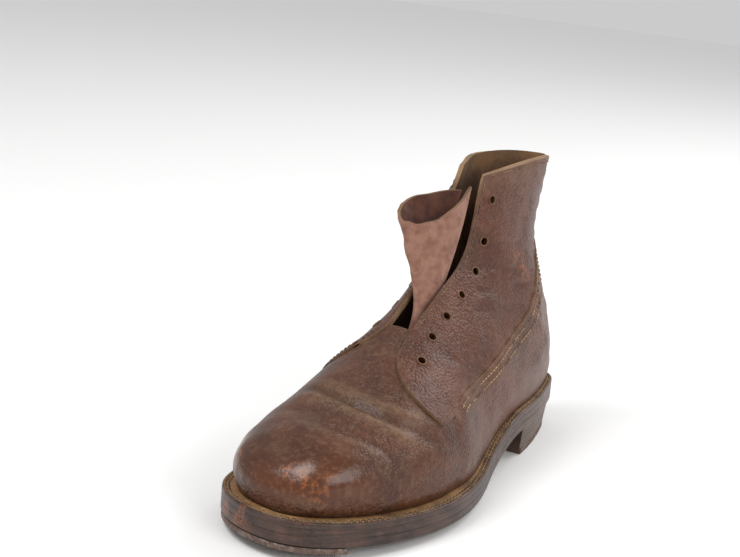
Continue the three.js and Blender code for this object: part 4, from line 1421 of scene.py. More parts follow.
@dataclass
class Upper:
    """Vamp, lining, quarters and heel leather, with their stitching and eyelets."""

    finishes: Finishes
    skin: Skin
    quarter_proud: float = 1.2
    golosh_proud: float = 2.3
    eyelets: int = 7
    first_eyelet: float = 6.2     # below the collar, along the front line
    eyelet_pitch: float = 18.7
    eyelet_inset: float = 11.5     # behind the facing's edge
    eyelet_radius: float = 2.3
    punch: float = 12     # length of the pins that punch the eyelets
    rim: float = 0.42     # half thickness of the raised rims
    rim_out: float = 0.35
    rim_up: float = 1.3
    facing_row: float = 2.4     # rows of stitches, inside the edge that they follow
    collar_row: float = 2.6
    quarter_rows: tuple[float, float] = (2.2, 4.6)
    golosh_rows: tuple[float, float] = (2.0, 4.8)

    def edges(self) -> dict[str, Array]:
        """The pieces' edges, each a smooth line.

        Returns:
            The lines in (u, v), by name.
        """
        quarter = self.skin.locate(np.concatenate([curve_through(QUARTER_EDGE, 1.5), QUARTER_FOOT]))
        medial = self.skin.locate(np.concatenate([curve_through(QUARTER_EDGE_MEDIAL, 1.5), QUARTER_FOOT_MEDIAL]))
        golosh = self.skin.locate(curve_through(GOLOSH_EDGE, 1.5))
        golosh[-1, 1] = 0.0
        return {"quarter": quarter, "quarter_medial": medial, "golosh": golosh, "golosh_medial": mirrored(golosh)}

    def build(self) -> dict[str, Piece]:
        """Makes every piece of the upper.

        Returns:
            The objects by name.
        """
        k, f = self.skin, self.finishes
        throat, line = k.throat(), self.edges()
        g = line["golosh"]
        heel_area = np.concatenate([[(0.16, -0.2), (0.16, g[0, 1] * 0.6), (0.2, g[0, 1] * 0.9)], g,
                                    [(g[-1, 0], -0.2)]])
        quarters = np.maximum(k.area(self.quarter_area(line["quarter"], 0.13, -0.2)),
                              k.area(self.quarter_area(line["quarter_medial"], 0.87, 1.2)))
        golosh = np.maximum(k.area(heel_area), k.area(mirrored(heel_area)))
        a = k.base[..., 1]
        rise = self.golosh_proud * smooth(199, 172, a) * mix(0.72, 1, smooth(14, 3, golosh))
        rise = rise - 0.35 * smooth(186, 199, a)     # the front end dives under the quarter
        tip = self.quarter_proud + 0.5 * smooth(188, 204, a)     # the tab's corner has curled up
        rubbed_and_shaded_edges = {key: k.on_skin(uv, 0)[0] for key, uv in line.items()}
        rubbed_and_shaded_edges |= {"facing": self.facing(Side.LATERAL, 0.4), "facing_medial": self.facing(Side.MEDIAL, 0.4)}
        marks = leather_marks(rubbed_and_shaded_edges)
        pieces = {
            "vamp_and_lining": k.shell("vamp_and_lining", k.lifted(0), k.inside, throat,
                                       [f.vamp, f.lining, f.raw_edge]),
            "quarters": k.shell("quarters", k.lifted(tip), k.lifted(-0.5), np.minimum(quarters, throat),
                                [f.quarter, f.lining, f.raw_edge]),
            "golosh": k.shell("golosh", k.lifted(rise), k.lifted(-0.6), golosh, [f.golosh, f.lining, f.raw_edge])}
        pins, rims = self.eyelet_parts()
        cut(pieces["vamp_and_lining"], self.copy_of(pins))
        cut(pieces["quarters"], pins)
        for p in pieces.values():
            write_marks(p, marks)
        pieces["eyelet_rims"] = rims
        write_marks(rims, unmarked)
        pieces["upper_stitches"], pieces["seam_stitches"] = self.stitches(line)
        return pieces

    def quarter_area(self, edge: Array, foot: float, past: float) -> Array:
        """Closes a quarter's front edge: under the heel leather at v = foot, then off the boot at v = past."""
        return np.concatenate([[(1.2, edge[0, 1])], edge, [(0.44, foot), (0.46, past), (1.2, past)]])

    def copy_of(self, piece: Piece) -> Piece:
        """A full copy of an object.

        Args:
            piece: the object.

        Returns:
            The copy.
        """
        twin = piece.copy()
        twin.data = piece.data.copy()
        bpy.context.collection.objects.link(twin)
        return twin

    def facing_uv(self, side: Side, distance: float) -> Array:
        """A line beside the throat, behind the facing's edge.

        Args:
            side: which side of the boot.
            distance: how far behind the edge, in mm.

        Returns:
            The line in (u, v).
        """
        edge = self.skin.gap_lateral if side is Side.LATERAL else self.skin.gap_medial
        v = np.linspace(0.5, 0.5 - side.value * 0.3, 240)
        out = []
        for u in np.linspace(0.315, 0.985, 130):
            p = LAST.skin(np.full_like(v, u), v)
            past = side.value * (p[:, 0] - edge) > 0
            step = np.concatenate([[0], np.linalg.norm(np.diff(p, axis=0), axis=1)]) * past
            out.append((u, float(np.interp(distance, np.cumsum(step), v))))
        return np.array(out)

    def facing(self, side: Side, distance: float) -> Array:
        """The same line as points in boot mm."""
        return self.skin.on_skin(self.facing_uv(side, distance), 0)[0]

    def eyelet_parts(self) -> tuple[Piece, Piece]:
        """Pins that punch the eyelets, and the raised raw rims round them.

        Returns:
            All pins as one object, and all rims as one.
        """
        pins, rims = [], []
        for side in Side:
            uv = self.facing_uv(side, self.eyelet_inset)
            for i in range(self.eyelets):
                u = LAST.front_position(self.first_eyelet + self.eyelet_pitch * i)
                at, out = self.skin.on_skin(np.array([[u, np.interp(u, uv[:, 0], uv[:, 1])]]), 0)
                spot = Vector(metres(at[0]))
                way = Vector((out[0][0], -out[0][1], out[0][2]))
                turn = way.to_track_quat("Z", "Y").to_euler()
                bpy.ops.mesh.primitive_cylinder_add(vertices=24, radius=self.eyelet_radius / 1000,
                                                    depth=self.punch / 1000, location=spot, rotation=turn)
                pins.append(bpy.context.object)
                bpy.ops.mesh.primitive_torus_add(major_segments=28, minor_segments=8,
                                                 major_radius=(self.eyelet_radius + self.rim_out) / 1000,
                                                 minor_radius=self.rim / 1000,
                                                 location=spot + way * (self.rim_up / 1000), rotation=turn)
                rims.append(bpy.context.object)
        pin, rim = joined("pins", pins), joined("eyelet_rims", rims)
        rim.data.materials.append(self.finishes.raw_edge)
        tidy(rim, 60)
        return pin, rim

    def stitches(self, line: dict[str, Array]) -> tuple[Piece, Piece]:
        """Rows inside the facings and quarter edges, and two rows along the heel leather.

        Args:
            line: the edges in (u, v), by name.

        Returns:
            The brown stitches and the yellow ones.
        """
        fine, pale = Stitching(), Stitching(radius=0.42, length=2.5, pitch=3.3)
        for side, end in ((Side.LATERAL, ""), (Side.MEDIAL, "_medial")):
            facing = self.facing_uv(side, self.facing_row)
            p, n = self.skin.on_skin(facing[facing[:, 0] < 0.975], self.quarter_proud + 0.05)
            fine.row(p, n)
            for inside in self.quarter_rows:
                uv = beside(line["quarter" + end][:-1], QUARTER_LEFT * side.value * inside)
                p, n = self.skin.on_skin(uv[2:-2], self.quarter_proud + 0.02)
                fine.row(p, n)
            for inside in self.golosh_rows:
                uv = beside(line["golosh" + end], GOLOSH_LEFT * side.value * inside)
                p, n = self.skin.on_skin(uv[4:-1], self.golosh_proud * 0.98)
                pale.row(p, n)
            v = np.linspace(0.02, 0.33, 80)
            uv = np.stack([np.full_like(v, 1 - self.collar_row / SPAN_COLLAR), v], -1)
            p, n = self.skin.on_skin(uv if side is Side.LATERAL else mirrored(uv), self.quarter_proud + 0.05)
            fine.row(p, n)
        return (fine.finish("upper_stitches", self.finishes.thread),
                pale.finish("seam_stitches", self.finishes.pale_thread))


# ---- tongue
@dataclass
class Tongue:
    """A soft sheet rolled to a U, narrow in the throat and wide at its rim.

    Each station of the path gives x, a and z of the four control points of a curve across the sheet.
    """

    finishes: Finishes
    thick: float = 1.8
    rows: int = 90
    columns: int = 90
    path: tuple[Station, ...] = (
        (0, -4, 158, 87, -4.2, 172, 86, 4.2, 172, 86, 4.2, 158, 87),
        (0.22, -3.8, 150, 100, -5, 168, 97, 4.2, 165, 97, 4.2, 147, 100),
        (0.45, -6.2, 144, 116, -11.5, 166, 110, 4.6, 156, 107, 4.2, 136, 117),
        (0.72, -7.2, 123, 138, -32, 172, 134, 4, 156, 118, 4.4, 124, 141),
        (1, -7.4, 106, 162, -50, 178, 163, 2, 160, 126, 4.8, 116.5, 167))

    def build(self) -> Piece:
        """Makes the sheet with its folds and its raw rim.

        Returns:
            The sheet.
        """
        t, v = np.meshgrid(np.linspace(0, 1, self.rows), np.linspace(0, 1, self.columns), indexing="ij")
        col = [chart(self.path, c + 1)(t) for c in range(12)]
        weight = [(1 - v) ** 3, 3 * (1 - v) ** 2 * v, 3 * (1 - v) * v**2, v**3]
        p = np.stack([sum(w * col[3 * i + c] for i, w in enumerate(weight)) for c in range(3)], -1)
        d = np.gradient(p, axis=1)
        inward = np.stack([d[..., 1], -d[..., 0], np.zeros_like(t)], -1)
        inward /= np.linalg.norm(inward, axis=-1, keepdims=True)
        fold = (0.7 * ripple(p, 24, 3.3) + 0.25 * ripple(p, 9, 1.1)) * smooth(0.3, 0.6, t) * np.sin(math.pi * v)
        fold += 0.7 * bell(v - 0.5 - 0.1 * t, 0.05) * smooth(0.35, 0.6, t)
        rim = 0.35 * smooth(0.965, 1, t) * np.sin(v * 46)
        form = Form()
        outer = form.put(p + inward * fold[..., None] + np.stack([0 * t, 0 * t, rim], -1))
        inner = form.put(p + inward * (fold + self.thick)[..., None] + np.stack([0 * t, 0 * t, rim], -1))
        form.lattice(outer, 0)
        form.lattice(inner, 1)
        for edge in (lambda g: g[0], lambda g: g[-1], lambda g: g[:, 0], lambda g: g[:, -1]):
            form.lattice(np.stack([edge(outer), edge(inner)]), 2)
        piece = form.finish("tongue_suede", [self.finishes.suede, self.finishes.suede_back,
                                             self.finishes.raw_edge], 50)
        write_marks(piece, unmarked)
        return piece


# ---- welt and soles
Height = Callable[[Array], Array]
Level = tuple[float, Height, int]
SLAB_STEPS, TOE_STEPS = 150, 70     # stations on each side of a layer, and along the toe plate


def over(level: Height, rise: float) -> Height:
    """A height that stays a constant above another; negative is below it."""
    return lambda a: level(a) + rise


def sole_slab(name: str, levels: Sequence[Level], finishes: Sequence[Finish]) -> Piece:
    """A layer of the sole, from rings one above another.

    Args:
        name: the piece's name.
        levels: inset, height and zone of each ring, from the underside to the top.
        finishes: materials by zone.

    Returns:
        The layer.
    """
    form, rings = Form(), []
    for inset, height, _ in levels:
        ring = Outline(inset).ring(SLAB_STEPS)
        rings.append(form.put(np.column_stack([ring, height(ring[:, 1])])))
    for (low, high), (_, _, zone) in zip(zip(rings, rings[1:]), levels[1:]):
        form.lattice(np.stack([low, high]), zone, around=True)
    for ring, zone in ((rings[0], levels[0][2]), (rings[-1], levels[-1][2])):
        n = len(ring)
        form.face(ring[0], ring[1], ring[n - 1], zone=zone)
        for i in range(1, n // 2 - 1):
            form.face(ring[i], ring[i + 1], ring[n - i - 1], ring[n - i], zone=zone)
        form.face(ring[n // 2 - 1], ring[n // 2], ring[n // 2 + 1], zone=zone)
    return form.finish(name, finishes, 38)


@dataclass
class Welt:
    """The welt, ridged along its top, with two rows of stitches in the furrows.

    The profile gives inset, height over the midsole and zone, from the underside round to the inner edge.
    """

    finishes: Finishes
    profile: tuple[Station, ...] = (
        (0.16, 0, 0), (0.06, 0.15, 0), (0.0, 0.7, 0), (0.0, 1.9, 0), (0.12, 3.0, 0), (0.5, 3.45, 0),
        (1.0, 3.6, 1), (1.5, 3.35, 1), (1.95, 3.0, 1), (2.4, 3.3, 1), (2.9, 3.6, 1), (3.4, 3.3, 1),
        (3.85, 3.0, 1), (4.3, 3.3, 1), (4.8, 3.6, 1), (5.4, 3.45, 1), (6.2, 3.6, 1), (8.8, 3.6, 1),
        (17, 3.6, 1), (17, 0, 0))
    furrows: tuple[float, float] = (1.95, 3.85)
    stitch_depth: float = 0.42
    roughness: float = 0.12
    steps: int = 170

    def build(self) -> tuple[Piece, Piece]:
        """Makes the welt and its stitches.

        Returns:
            The strip and its stitches.
        """
        low, form, rings = over(midsole_top, S.seam), Form(), []
        for inset, up, _ in self.profile:
            ring = Outline(inset).ring(self.steps)
            eased = 0 < up < 3.59     # the flat top and the underside stay smooth
            nick = self.roughness * ripple(np.column_stack([ring, 0 * ring[:, 0]]), 9, up) if eased else 0
            rings.append(form.put(np.column_stack([ring, low(ring[:, 1]) + up + nick])))
        for i, (_, _, zone) in enumerate(self.profile):
            form.lattice(np.stack([rings[i], rings[(i + 1) % len(rings)]]), zone, around=True)
        welt = form.finish("welt_strip", [self.finishes.sole_edge, self.finishes.welt], 45)
        write_marks(welt, edge_marks)
        rows = Stitching(length=2.6, pitch=3.4, radius=0.5)
        for inset in self.furrows:
            ring = Outline(inset).ring(400)
            ring = np.concatenate([ring, ring[:1]])
            line = np.column_stack([ring, welt_top(ring[:, 1]) - self.stitch_depth])
            rows.row(line, np.tile((0.0, 0.0, 1.0), (len(line), 1)))
        return welt, rows.finish("welt_stitches", self.finishes.thread)


def edge_marks(p: Array) -> Array:
    """Wear, grime and rusty scuffs along the edge of the sole.

    Args:
        p: points in boot mm, one in each row.

    Returns:
        The four marks, one row for each point.
    """
    x, a = p[..., 0], p[..., 1]
    wear = 0.45 * smooth(0.4, 1, ripple(p, 17, 4.4)) + 0.25 * smooth(0.5, 1, ripple(p, 6, 1.4))
    wear += 0.35 * smooth(140, 60, a)
    scuff = 0.9 * smooth(246, 262, a) * smooth(-6, -18, x) * smooth(0, 0.6, ripple(p, 21, 6))
    scuff += 0.5 * smooth(0.6, 1, ripple(p, 33, 8.1)) * smooth(200, 250, a)
    dirt_and_shade = 0.5 * smooth(0.3, 1, ripple(p, 23, 2.9))
    return np.stack([wear, dirt_and_shade, scuff, 0 * a], -1)


@dataclass(frozen=True)
class NailFit:
    """How the square nails of one plate sit: heights in mm over a base that follows the sole."""

    base: Callable[[float], float]
    slot_low: float
    nail_low: float
    nail_high: float


@dataclass
class Soles:
    """Midsole and outsole with their trimmed edges, the heel lifts and the ironwork."""

    finishes: Finishes
    breast_lateral: float = 80
    breast_medial: float = 70
    hollow: float = 2.5
    inset_top: float = 1.2
    inset_bottom: float = 3.0
    plate: float = 4.0     # thickness of the heel plate
    plate_width: float = 9.5
    plate_back: float = 5.0
    toe_plate: float = 3.2     # thickness of the toe plate
    toe_ends: tuple[float, float] = (276, 242)     # where its outer edge ends, outer and inner side
    toe_arc: Station = (-12.8, 250, 24, 0.86, -1.7)     # inner edge: centre, radius, turn at each end
    slot: tuple[float, float] = (8.4, 4.4)     # length and width of the countersunk holes
    slot_deep: float = 9
    nail: tuple[float, float] = (7.6, 3.6)     # length and width of the square heads
    nail_bevel: float = 0.5
    heel_nails: tuple[float, ...] = (64, 24, 22, 54)     # a, two on the outer side and two on the inner
    toe_nails: tuple[Station, ...] = (     # x, a and turn
        (13.5, 280, 0.95), (2, 286.5, 1.3), (-12, 287, 1.75), (-26, 278, 2.35), (-37, 262.5, 2.75))
    lifts: int = 4

    def midsole(self) -> Piece:
        """The layer between outsole and welt.

        Returns:
            The midsole.
        """
        low, f = over(sole_top, S.seam), self.finishes
        piece = sole_slab("midsole_edge", [(0.16, low, 0), (0.05, over(low, 0.15), 0), (0.0, over(low, 0.8), 0),
            (0.0, over(low, 3.2), 0), (0.05, over(low, 3.85), 0), (0.16, midsole_top, 0)], [f.sole_edge])
        write_marks(piece, edge_marks)
        return piece

    def outsole(self) -> Piece:
        """The outsole, with a split line part way up its edge.

        Returns:
            The outsole.
        """
        u, f = sole_under, self.finishes
        piece = sole_slab("outsole_leather", [(1.6, u, 1), (0.5, over(u, 0.35), 0), (0.05, over(u, 1.1), 0),
            (0.0, over(u, 2.5), 0), (0.07, over(u, 2.75), 0), (0.0, over(u, 3.0), 0), (0.0, over(u, 5.1), 0),
            (0.05, over(u, 5.45), 0), (0.16, sole_top, 0)], [f.sole_edge, f.sole_face])
        write_marks(piece, edge_marks)
        return piece

    def heel_line(self, inset: float, back: float, steps: int) -> Array:
        """A line round the heel from outer to inner side, open at the breast.

        Args:
            inset: how far inside the sole's edge, in mm.
            back: how far behind the breast it ends, in mm.
            steps: steps on each side.

        Returns:
            Points (x, a).
        """
        edge = Outline(inset)
        k = 1 - np.cos(math.pi / 2 * np.linspace(0, 1, steps + 1))
        lat = mix(edge.start, self.breast_lateral - back, k[::-1])
        med = mix(edge.start, self.breast_medial - back, k[1:])
        line = np.concatenate([np.stack([edge.at(Side.LATERAL, lat), lat], -1),
                               np.stack([edge.at(Side.MEDIAL, med), med], -1)])
        line[steps, 0] = AXIS_X
        return line

    def heel_ring(self, inset: float, back: float) -> Array:
        """Outline of one level of the heel, closed by its hollowed breast.

        Args:
            inset: how far inside the sole's edge, in mm.
            back: how far the breast is set back, in mm.

        Returns:
            Points (x, a).
        """
        line = self.heel_line(inset, back, 60)
        t = np.linspace(0, 1, 20)[1:-1, None]
        breast = mix(line[-1], line[0], t) - np.concatenate([0 * t, self.hollow * np.sin(math.pi * t)], 1)
        return np.concatenate([line, breast])

    def heel(self) -> Piece:
        """The stack of lifts, with a fine groove between them.

        Returns:
            The stack.
        """
        form, rings = Form(), []
        z0, z1 = self.plate + S.gap, S.heel - S.gap
        pitch = (z1 - z0) / self.lifts
        for i in range(self.lifts):
            for share, dip in ((0.0, 0.3), (0.07, 0.08), (0.15, 0.0), (0.85, 0.0), (0.93, 0.08), (1.0, 0.3)):
                z = z0 + (i + share) * pitch
                t = (z - z0) / (z1 - z0)
                ring = self.heel_ring(mix(self.inset_bottom, self.inset_top, t) + dip, mix(2, 0, t))
                rings.append(form.put(np.column_stack([ring, np.full(len(ring), z)])))
        for low, high in zip(rings, rings[1:]):
            form.lattice(np.stack([low, high]), 0, around=True)
        form.face(*rings[0][::-1], zone=1)
        form.face(*rings[-1], zone=1)
        piece = form.finish("heel_lifts", [self.finishes.heel, self.finishes.sole_face], 38)
        write_marks(piece, edge_marks)
        return piece

    def strip(self, name: str, outer: Callable[[float], Array], inner: Callable[[float], Array],
              low: Height, thick: float) -> Piece:
        """An iron strip between two lines, with eased edges.

        Args:
            name: the piece's name.
            outer: the outer line, as (x, a) points, moved in by a distance.
            inner: the inner line, likewise moved out.
            low: height of the underside at a.
            thick: thickness.

        Returns:
            The mesh object.
        """
        form, loops = Form(), []
        for line, ease, up in ((outer, 0.7, 0), (outer, 0.15, 0.2), (outer, 0, 0.8), (outer, 0, thick - 0.5),
                               (outer, 0.4, thick), (inner, 0.3, thick), (inner, 0, thick - 0.4),
                               (inner, 0, 0.8), (inner, 0.2, 0.2), (inner, 0.8, 0)):
            p = line(ease)
            loops.append(form.put(np.column_stack([p, low(p[:, 1]) + up])))
        ids = np.stack(loops, 1)
        form.lattice(ids, 0, around=True)
        form.face(*ids[0][::-1])
        form.face(*ids[-1])
        return form.finish(name, [self.finishes.iron], 38)

    def nail_spots(self) -> tuple[list[Station], list[Station]]:
        """Places of the nails in the heel plate and the toe plate.

        Returns:
            Two lists of x, a and turn.
        """
        middle = self.inset_bottom + self.plate_width / 2
        line = Outline(middle)

        def spot(side: Side, a: float) -> Station:
            """A place along the middle of the heel plate."""
            slope = float(line.at(side, a + 3) - line.at(side, a - 3)) / 6
            return float(line.at(side, a)), a, math.atan(slope)

        outer, inner = self.heel_nails[:2], self.heel_nails[2:]
        heel = [*(spot(Side.LATERAL, a) for a in outer), (AXIS_X, middle, math.pi / 2),
                *(spot(Side.MEDIAL, a) for a in inner)]
        return heel, list(self.toe_nails)

    def block(self, spot: Station, length: float, width: float, low: float, height: float,
              bevel: float = 0.0) -> Piece:
        """A small box on the sole, square to it.

        Args:
            spot: its x, a and turn.
            length: length in mm.
            width: width in mm.
            low: height of its underside.
            height: height in mm.
            bevel: how much its edges are eased, in mm.

        Returns:
            The box.
        """
        x, a, turn = spot
        slope = -math.atan(float(sole_under(a + 4) - sole_under(a - 4)) / 8) if a > 150 else 0.0
        bpy.ops.mesh.primitive_cube_add(size=1)
        box = bpy.context.object
        box.matrix_world = (Matrix.Translation(metres(np.array([x, a, low + height / 2])).tolist())
            @ Matrix.Rotation(slope, 4, "X") @ Matrix.Rotation(turn, 4, "Z")
            @ Matrix.Diagonal((width / 1000, length / 1000, height / 1000, 1)))
        alone(box)
        bpy.ops.object.transform_apply(location=True, rotation=True, scale=True)
        if bevel:
            bpy.ops.object.mode_set(mode="EDIT")
            bpy.ops.mesh.select_all(action="SELECT")
            bpy.ops.mesh.bevel(offset=bevel / 1000, segments=2, affect="EDGES")
            bpy.ops.object.mode_set(mode="OBJECT")
        return box

    def ironwork(self) -> dict[str, Piece]:
        """Both plates with their nails.

        Returns:
            The objects by name.
        """
        low = over(sole_under, -S.gap - self.toe_plate)
        outer, inner = self.inset_bottom, self.inset_bottom + self.plate_width
        heel = self.strip("heel_iron", lambda e: self.heel_line(outer + e, self.plate_back, 46),
                          lambda e: self.heel_line(inner - e, self.plate_back, 46), lambda a: 0 * a, self.plate)
        toe = self.strip("toe_iron", self.toe_outer, self.toe_inner, low, self.toe_plate)
        pieces = {"heel_iron": heel, "toe_iron": toe}
        heel_spots, toe_spots = self.nail_spots()
        heel_fit = NailFit(lambda a: 0.0, slot_low=-2, nail_low=0.4, nail_high=3.5)
        toe_fit = NailFit(lambda a: float(low(a)), slot_low=-3, nail_low=0.3, nail_high=2.4)
        for end, spots, fit in (("heel", heel_spots, heel_fit), ("toe", toe_spots, toe_fit)):
            slots = [self.block(s, *self.slot, fit.base(s[1]) + fit.slot_low, self.slot_deep) for s in spots]
            cut(pieces[end + "_iron"], joined("slots", slots))
        for end, spots, fit in (("heel", heel_spots, heel_fit), ("toe", toe_spots, toe_fit)):
            nails = joined(end + "_nails", [self.block(s, *self.nail, fit.base(s[1]) + fit.nail_low,
                                                       fit.nail_high, self.nail_bevel) for s in spots])
            nails.data.materials.append(self.finishes.steel)
            alone(nails)
            bpy.ops.object.shade_smooth_by_angle(angle=math.radians(40))
            pieces[end + "_nails"] = nails
        for name, base in (("heel_iron", 0.1), ("toe_iron", 0.25), ("heel_nails", 0.35), ("toe_nails", 0.3)):
            write_marks(pieces[name], lambda p, b=base: rubbed(b + 0.3 * smooth(0.2, 1, ripple(p, 13, b * 9))))
        return pieces

    def toe_outer(self, ease: float) -> Array:
        """The toe plate's outer line, along the sole's edge.

        Args:
            ease: how far inside, in mm.

        Returns:
            Points (x, a).
        """
        half = S.length / 2
        edge, reach = Outline(0.4 + ease), half - 0.4 - ease
        first, last = (math.acos((a - half) / reach) for a in self.toe_ends)
        angles = np.linspace(first, -last, TOE_STEPS + 1)
        a = half + reach * np.cos(angles)
        x = np.where(angles > 0, edge.at(Side.LATERAL, a), edge.at(Side.MEDIAL, a))
        return np.stack([x, a], -1)

    def toe_inner(self, ease: float) -> Array:
        """The toe plate's inner line, an arc.

        Args:
            ease: how far outside the arc, in mm.

        Returns:
            Points (x, a).
        """
        x, a, radius, first, last = self.toe_arc
        turn = np.linspace(first, last, TOE_STEPS + 1)
        return np.stack([x + (radius + ease) * np.sin(turn), a + (radius + ease) * np.cos(turn)], -1)


@dataclass
class Hobnails:
    """Domed studs with worn faces, and the small round nails of the heel."""

    finishes: Finishes
    places: tuple[Station, ...] = (     # x, a, how far its face is rubbed bright
        (28, 258, 0.1), (39.5, 229, 0.2), (44, 201, 0.1), (45, 174, 0.3), (38.8, 146, 0.1),
        (6.2, 250, 0.2), (11, 223, 0.5), (16.5, 195.5, 0.9), (19, 168, 0.3), (18.7, 142, 0.1),
        (-18.6, 239, 0.3), (-16.8, 207, 0.9), (-12.4, 176, 0.8), (-8.6, 142, 0.1),
        (-43.3, 227, 0.3), (-43.8, 199, 0.4), (-42, 170.5, 0.2), (-34.2, 141, 0.1))
    heel_places: tuple[Station, ...] = ((28, 71.5), (21, 72), (5, 69), (-9.8, 67), (-17, 62.5), (24.5, 54.9),
        (19.2, 38), (10.8, 27), (4, 21), (-3, 19), (-9, 19.5), (-13.4, 24), (-17, 34.5), (-18.4, 45.9))
    stud_profile: tuple[Station, ...] = ((5.9, 0), (5.9, 0.35), (5.75, 0.9), (5.4, 1.7), (4.8, 2.5), (4.1, 3.2),
        (3.5, 3.6), (3.0, 3.75), (0.6, 3.8))
    pin_profile: tuple[Station, ...] = ((1.7, 0.0), (1.55, 0.25), (1.1, 0.5), (0.3, 0.6))
    stud_gap: float = 0.2
    pin_base: float = 4.35
    pin_wear: float = 0.3
    sides: int = 32

    def lathe(self, profile: Sequence[Station], spots: Sequence[Station], name: str) -> Piece:
        """One turned head, copied to each place, square to the sole.

        Args:
            profile: radius and distance below the sole, along the head.
            spots: x, a and height of each head.
            name: the piece's name.

        Returns:
            One object with all the heads.
        """
        form, turn = Form(), np.arange(self.sides) * 2 * math.pi / self.sides
        for x, a, base in spots:
            slope = math.atan(float(sole_under(a + 4) - sole_under(a - 4)) / 8) if a > 120 else 0.0
            rings = []
            for r, down in profile:
                px, py = r * np.cos(turn), r * np.sin(turn)
                rings.append(form.put(np.stack([x + px, a + py * math.cos(slope) + down * math.sin(slope),
                             base + py * math.sin(slope) - down * math.cos(slope)], -1)))
            form.lattice(np.stack(rings), 0, around=True)
            form.face(*rings[0])
            form.face(*rings[-1][::-1])
        return form.finish(name, [self.finishes.steel], 35)

    def build(self) -> tuple[Piece, Piece]:
        """Makes the studs and the heel's small nails.

        Returns:
            The studs and the nails.
        """
        studs = self.lathe(self.stud_profile,
                           [(x, a, float(sole_under(a)) - self.stud_gap) for x, a, _ in self.places],
                           "hobnail_heads")
        write_marks(studs, lambda p: rubbed(self.worn(p)))
        nails = self.lathe(self.pin_profile, [(x, a, self.pin_base) for x, a in self.heel_places], "heel_pins")
        write_marks(nails, lambda p: rubbed(np.full(len(p), self.pin_wear)))
        return studs, nails

    def worn(self, p: Array) -> Array:
        """How bright each stud is rubbed, most on its face.

        Args:
            p: points in boot mm, one in each row.

        Returns:
            The wear at each point.
        """
        places = np.array(self.places)
        d = np.hypot(p[:, None, 0] - places[None, :, 0], p[:, None, 1] - places[None, :, 1])
        return places[np.argmin(d, 1), 2] * smooth(5.6, 3.6, d.min(1))


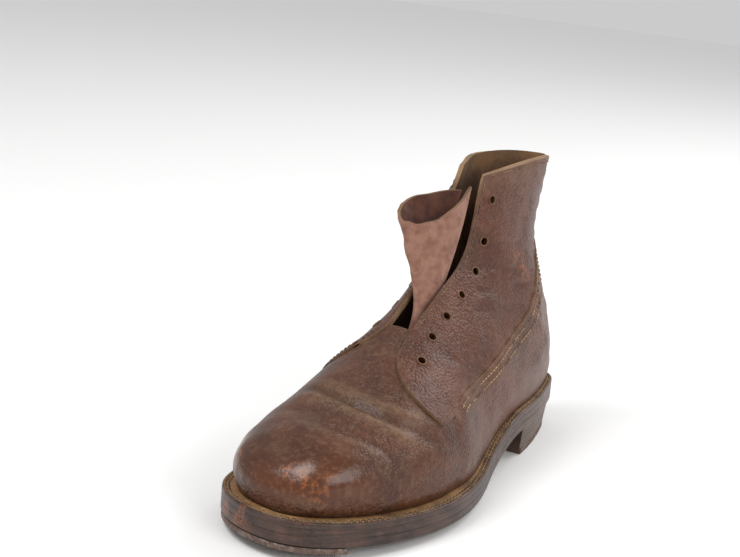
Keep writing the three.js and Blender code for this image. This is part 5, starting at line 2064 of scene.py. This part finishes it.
# ---- set
@dataclass
class Studio:
    """Pale floor, soft lights and the camera; angles in degrees, lengths in mm where nothing else is said."""

    azimuth: float = 29.53
    elevation: float = 14.49
    roll: float = 4.95
    distance: float = 900
    lens: float = 76.780216
    sensor: float = 36
    shift: tuple[float, float] = (-27.44, 36.08)
    aim_height: float = 80
    floor_size: float = 6     # metres
    sky: float = 0.62
    lamps: tuple[tuple[str, Station, float, float], ...] = (     # name, place in metres, size, watts
        ("key", (-0.5, -0.9, 1.7), 0.8, 17), ("right", (1.5, -0.5, 0.9), 0.9, 11),
        ("back", (0.5, 1.3, 1.2), 1.0, 12))

    def camera(self) -> None:
        """Sets the camera at the viewing angle."""
        az, el, roll = (math.radians(v) for v in (self.azimuth, self.elevation, self.roll))
        back = np.array([math.sin(az) * math.cos(el), -math.cos(az) * math.cos(el), math.sin(el)])
        right = np.array([math.cos(az), math.sin(az), 0])
        up = np.cross(back, right)
        r = math.cos(roll) * right + math.sin(roll) * up
        u = -math.sin(roll) * right + math.cos(roll) * up
        target = np.array([-S.centre_x, 0, self.aim_height]) + r * self.shift[0] + u * self.shift[1]
        data = bpy.data.cameras.new("camera")
        data.sensor_width, data.sensor_fit = self.sensor, "HORIZONTAL"
        data.lens = self.lens
        data.clip_start, data.clip_end = 0.05, 20
        cam = bpy.data.objects.new("camera", data)
        bpy.context.collection.objects.link(cam)
        cam.matrix_world = Matrix((list(r) + [0], list(u) + [0], list(back) + [0], [0, 0, 0, 1])).transposed()
        cam.location = (target + back * self.distance) / 1000
        bpy.context.scene.camera = cam

    def light(self, name: str, at: Station, size: float, power: float) -> None:
        """One square soft light aimed at the boot.

        Args:
            name: its name.
            at: where it stands, in metres.
            size: its side, in metres.
            power: its power in watts.
        """
        data = bpy.data.lights.new(name, "AREA")
        data.shape, data.size, data.energy = "SQUARE", size, power
        lamp = bpy.data.objects.new(name, data)
        bpy.context.collection.objects.link(lamp)
        lamp.location = at
        beam = Vector((0, 0, self.aim_height / 1000)) - Vector(at)
        lamp.rotation_euler = beam.to_track_quat("-Z", "Y").to_euler()

    def build(self) -> None:
        """Makes floor, lights, world and camera."""
        bpy.ops.mesh.primitive_plane_add(size=self.floor_size)
        floor = bpy.context.object
        floor.name = floor.data.name = "floor"
        s = Sheet("matt pale paint")
        floor.data.materials.append(s.close(Base_Color="#f4f4f3", Roughness=0.85, Specular_IOR_Level=0.2))
        world = bpy.data.worlds.new("studio")
        world.use_nodes = True
        background = world.node_tree.nodes["Background"]
        background.inputs["Color"].default_value = linear("#fbfbfc")
        background.inputs["Strength"].default_value = self.sky
        bpy.context.scene.world = world
        bpy.context.scene.view_settings.view_transform = "Standard"
        for lamp in self.lamps:
            self.light(*lamp)
        self.camera()


# ---- assembly
def main() -> None:
    """Builds the boot's looks in order and attaches each piece to the root body, hiding the model's parts that it
    replaces.
    """
    logging.basicConfig(level=logging.INFO, format="%(name)s %(message)s")
    bpy.ops.object.select_all(action="DESELECT")
    finishes = make_finishes()
    Studio().build()
    skin = Skin()
    upper = Upper(finishes, skin).build()
    place(upper["vamp_and_lining"], "upper_leather", "upper")
    for name in ("quarters", "golosh", "eyelet_rims", "upper_stitches", "seam_stitches"):
        place(upper[name], "upper_leather")
    place(Tongue(finishes).build(), "tongue_suede", "tongue")
    welt, stitches = Welt(finishes).build()
    place(welt, "welt_leather", "welt")
    place(stitches, "welt_leather")
    soles = Soles(finishes)
    place(soles.midsole(), "sole_leather", "midsole")
    place(soles.outsole(), "sole_leather", "outsole")
    place(soles.heel(), "heel_leather", "heel_stack")
    iron = soles.ironwork()
    for end in ("heel", "toe"):
        place(iron[end + "_iron"], "plate_iron", end + "_plate")
    for end in ("heel", "toe"):
        place(iron[end + "_nails"], "nail_steel", *(f"{end}_nail_{i}" for i in range(1, 6)))
    hobnails = Hobnails(finishes)
    studs, pins = hobnails.build()
    place(studs, "nail_steel", *(f"hobnail_{i:02d}" for i in range(1, len(hobnails.places) + 1)))
    place(pins, "nail_steel")
    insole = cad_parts["insole"]
    insole.data.materials.clear()
    insole.data.materials.append(finishes.insole)


if __name__ == "__main__":
    main()
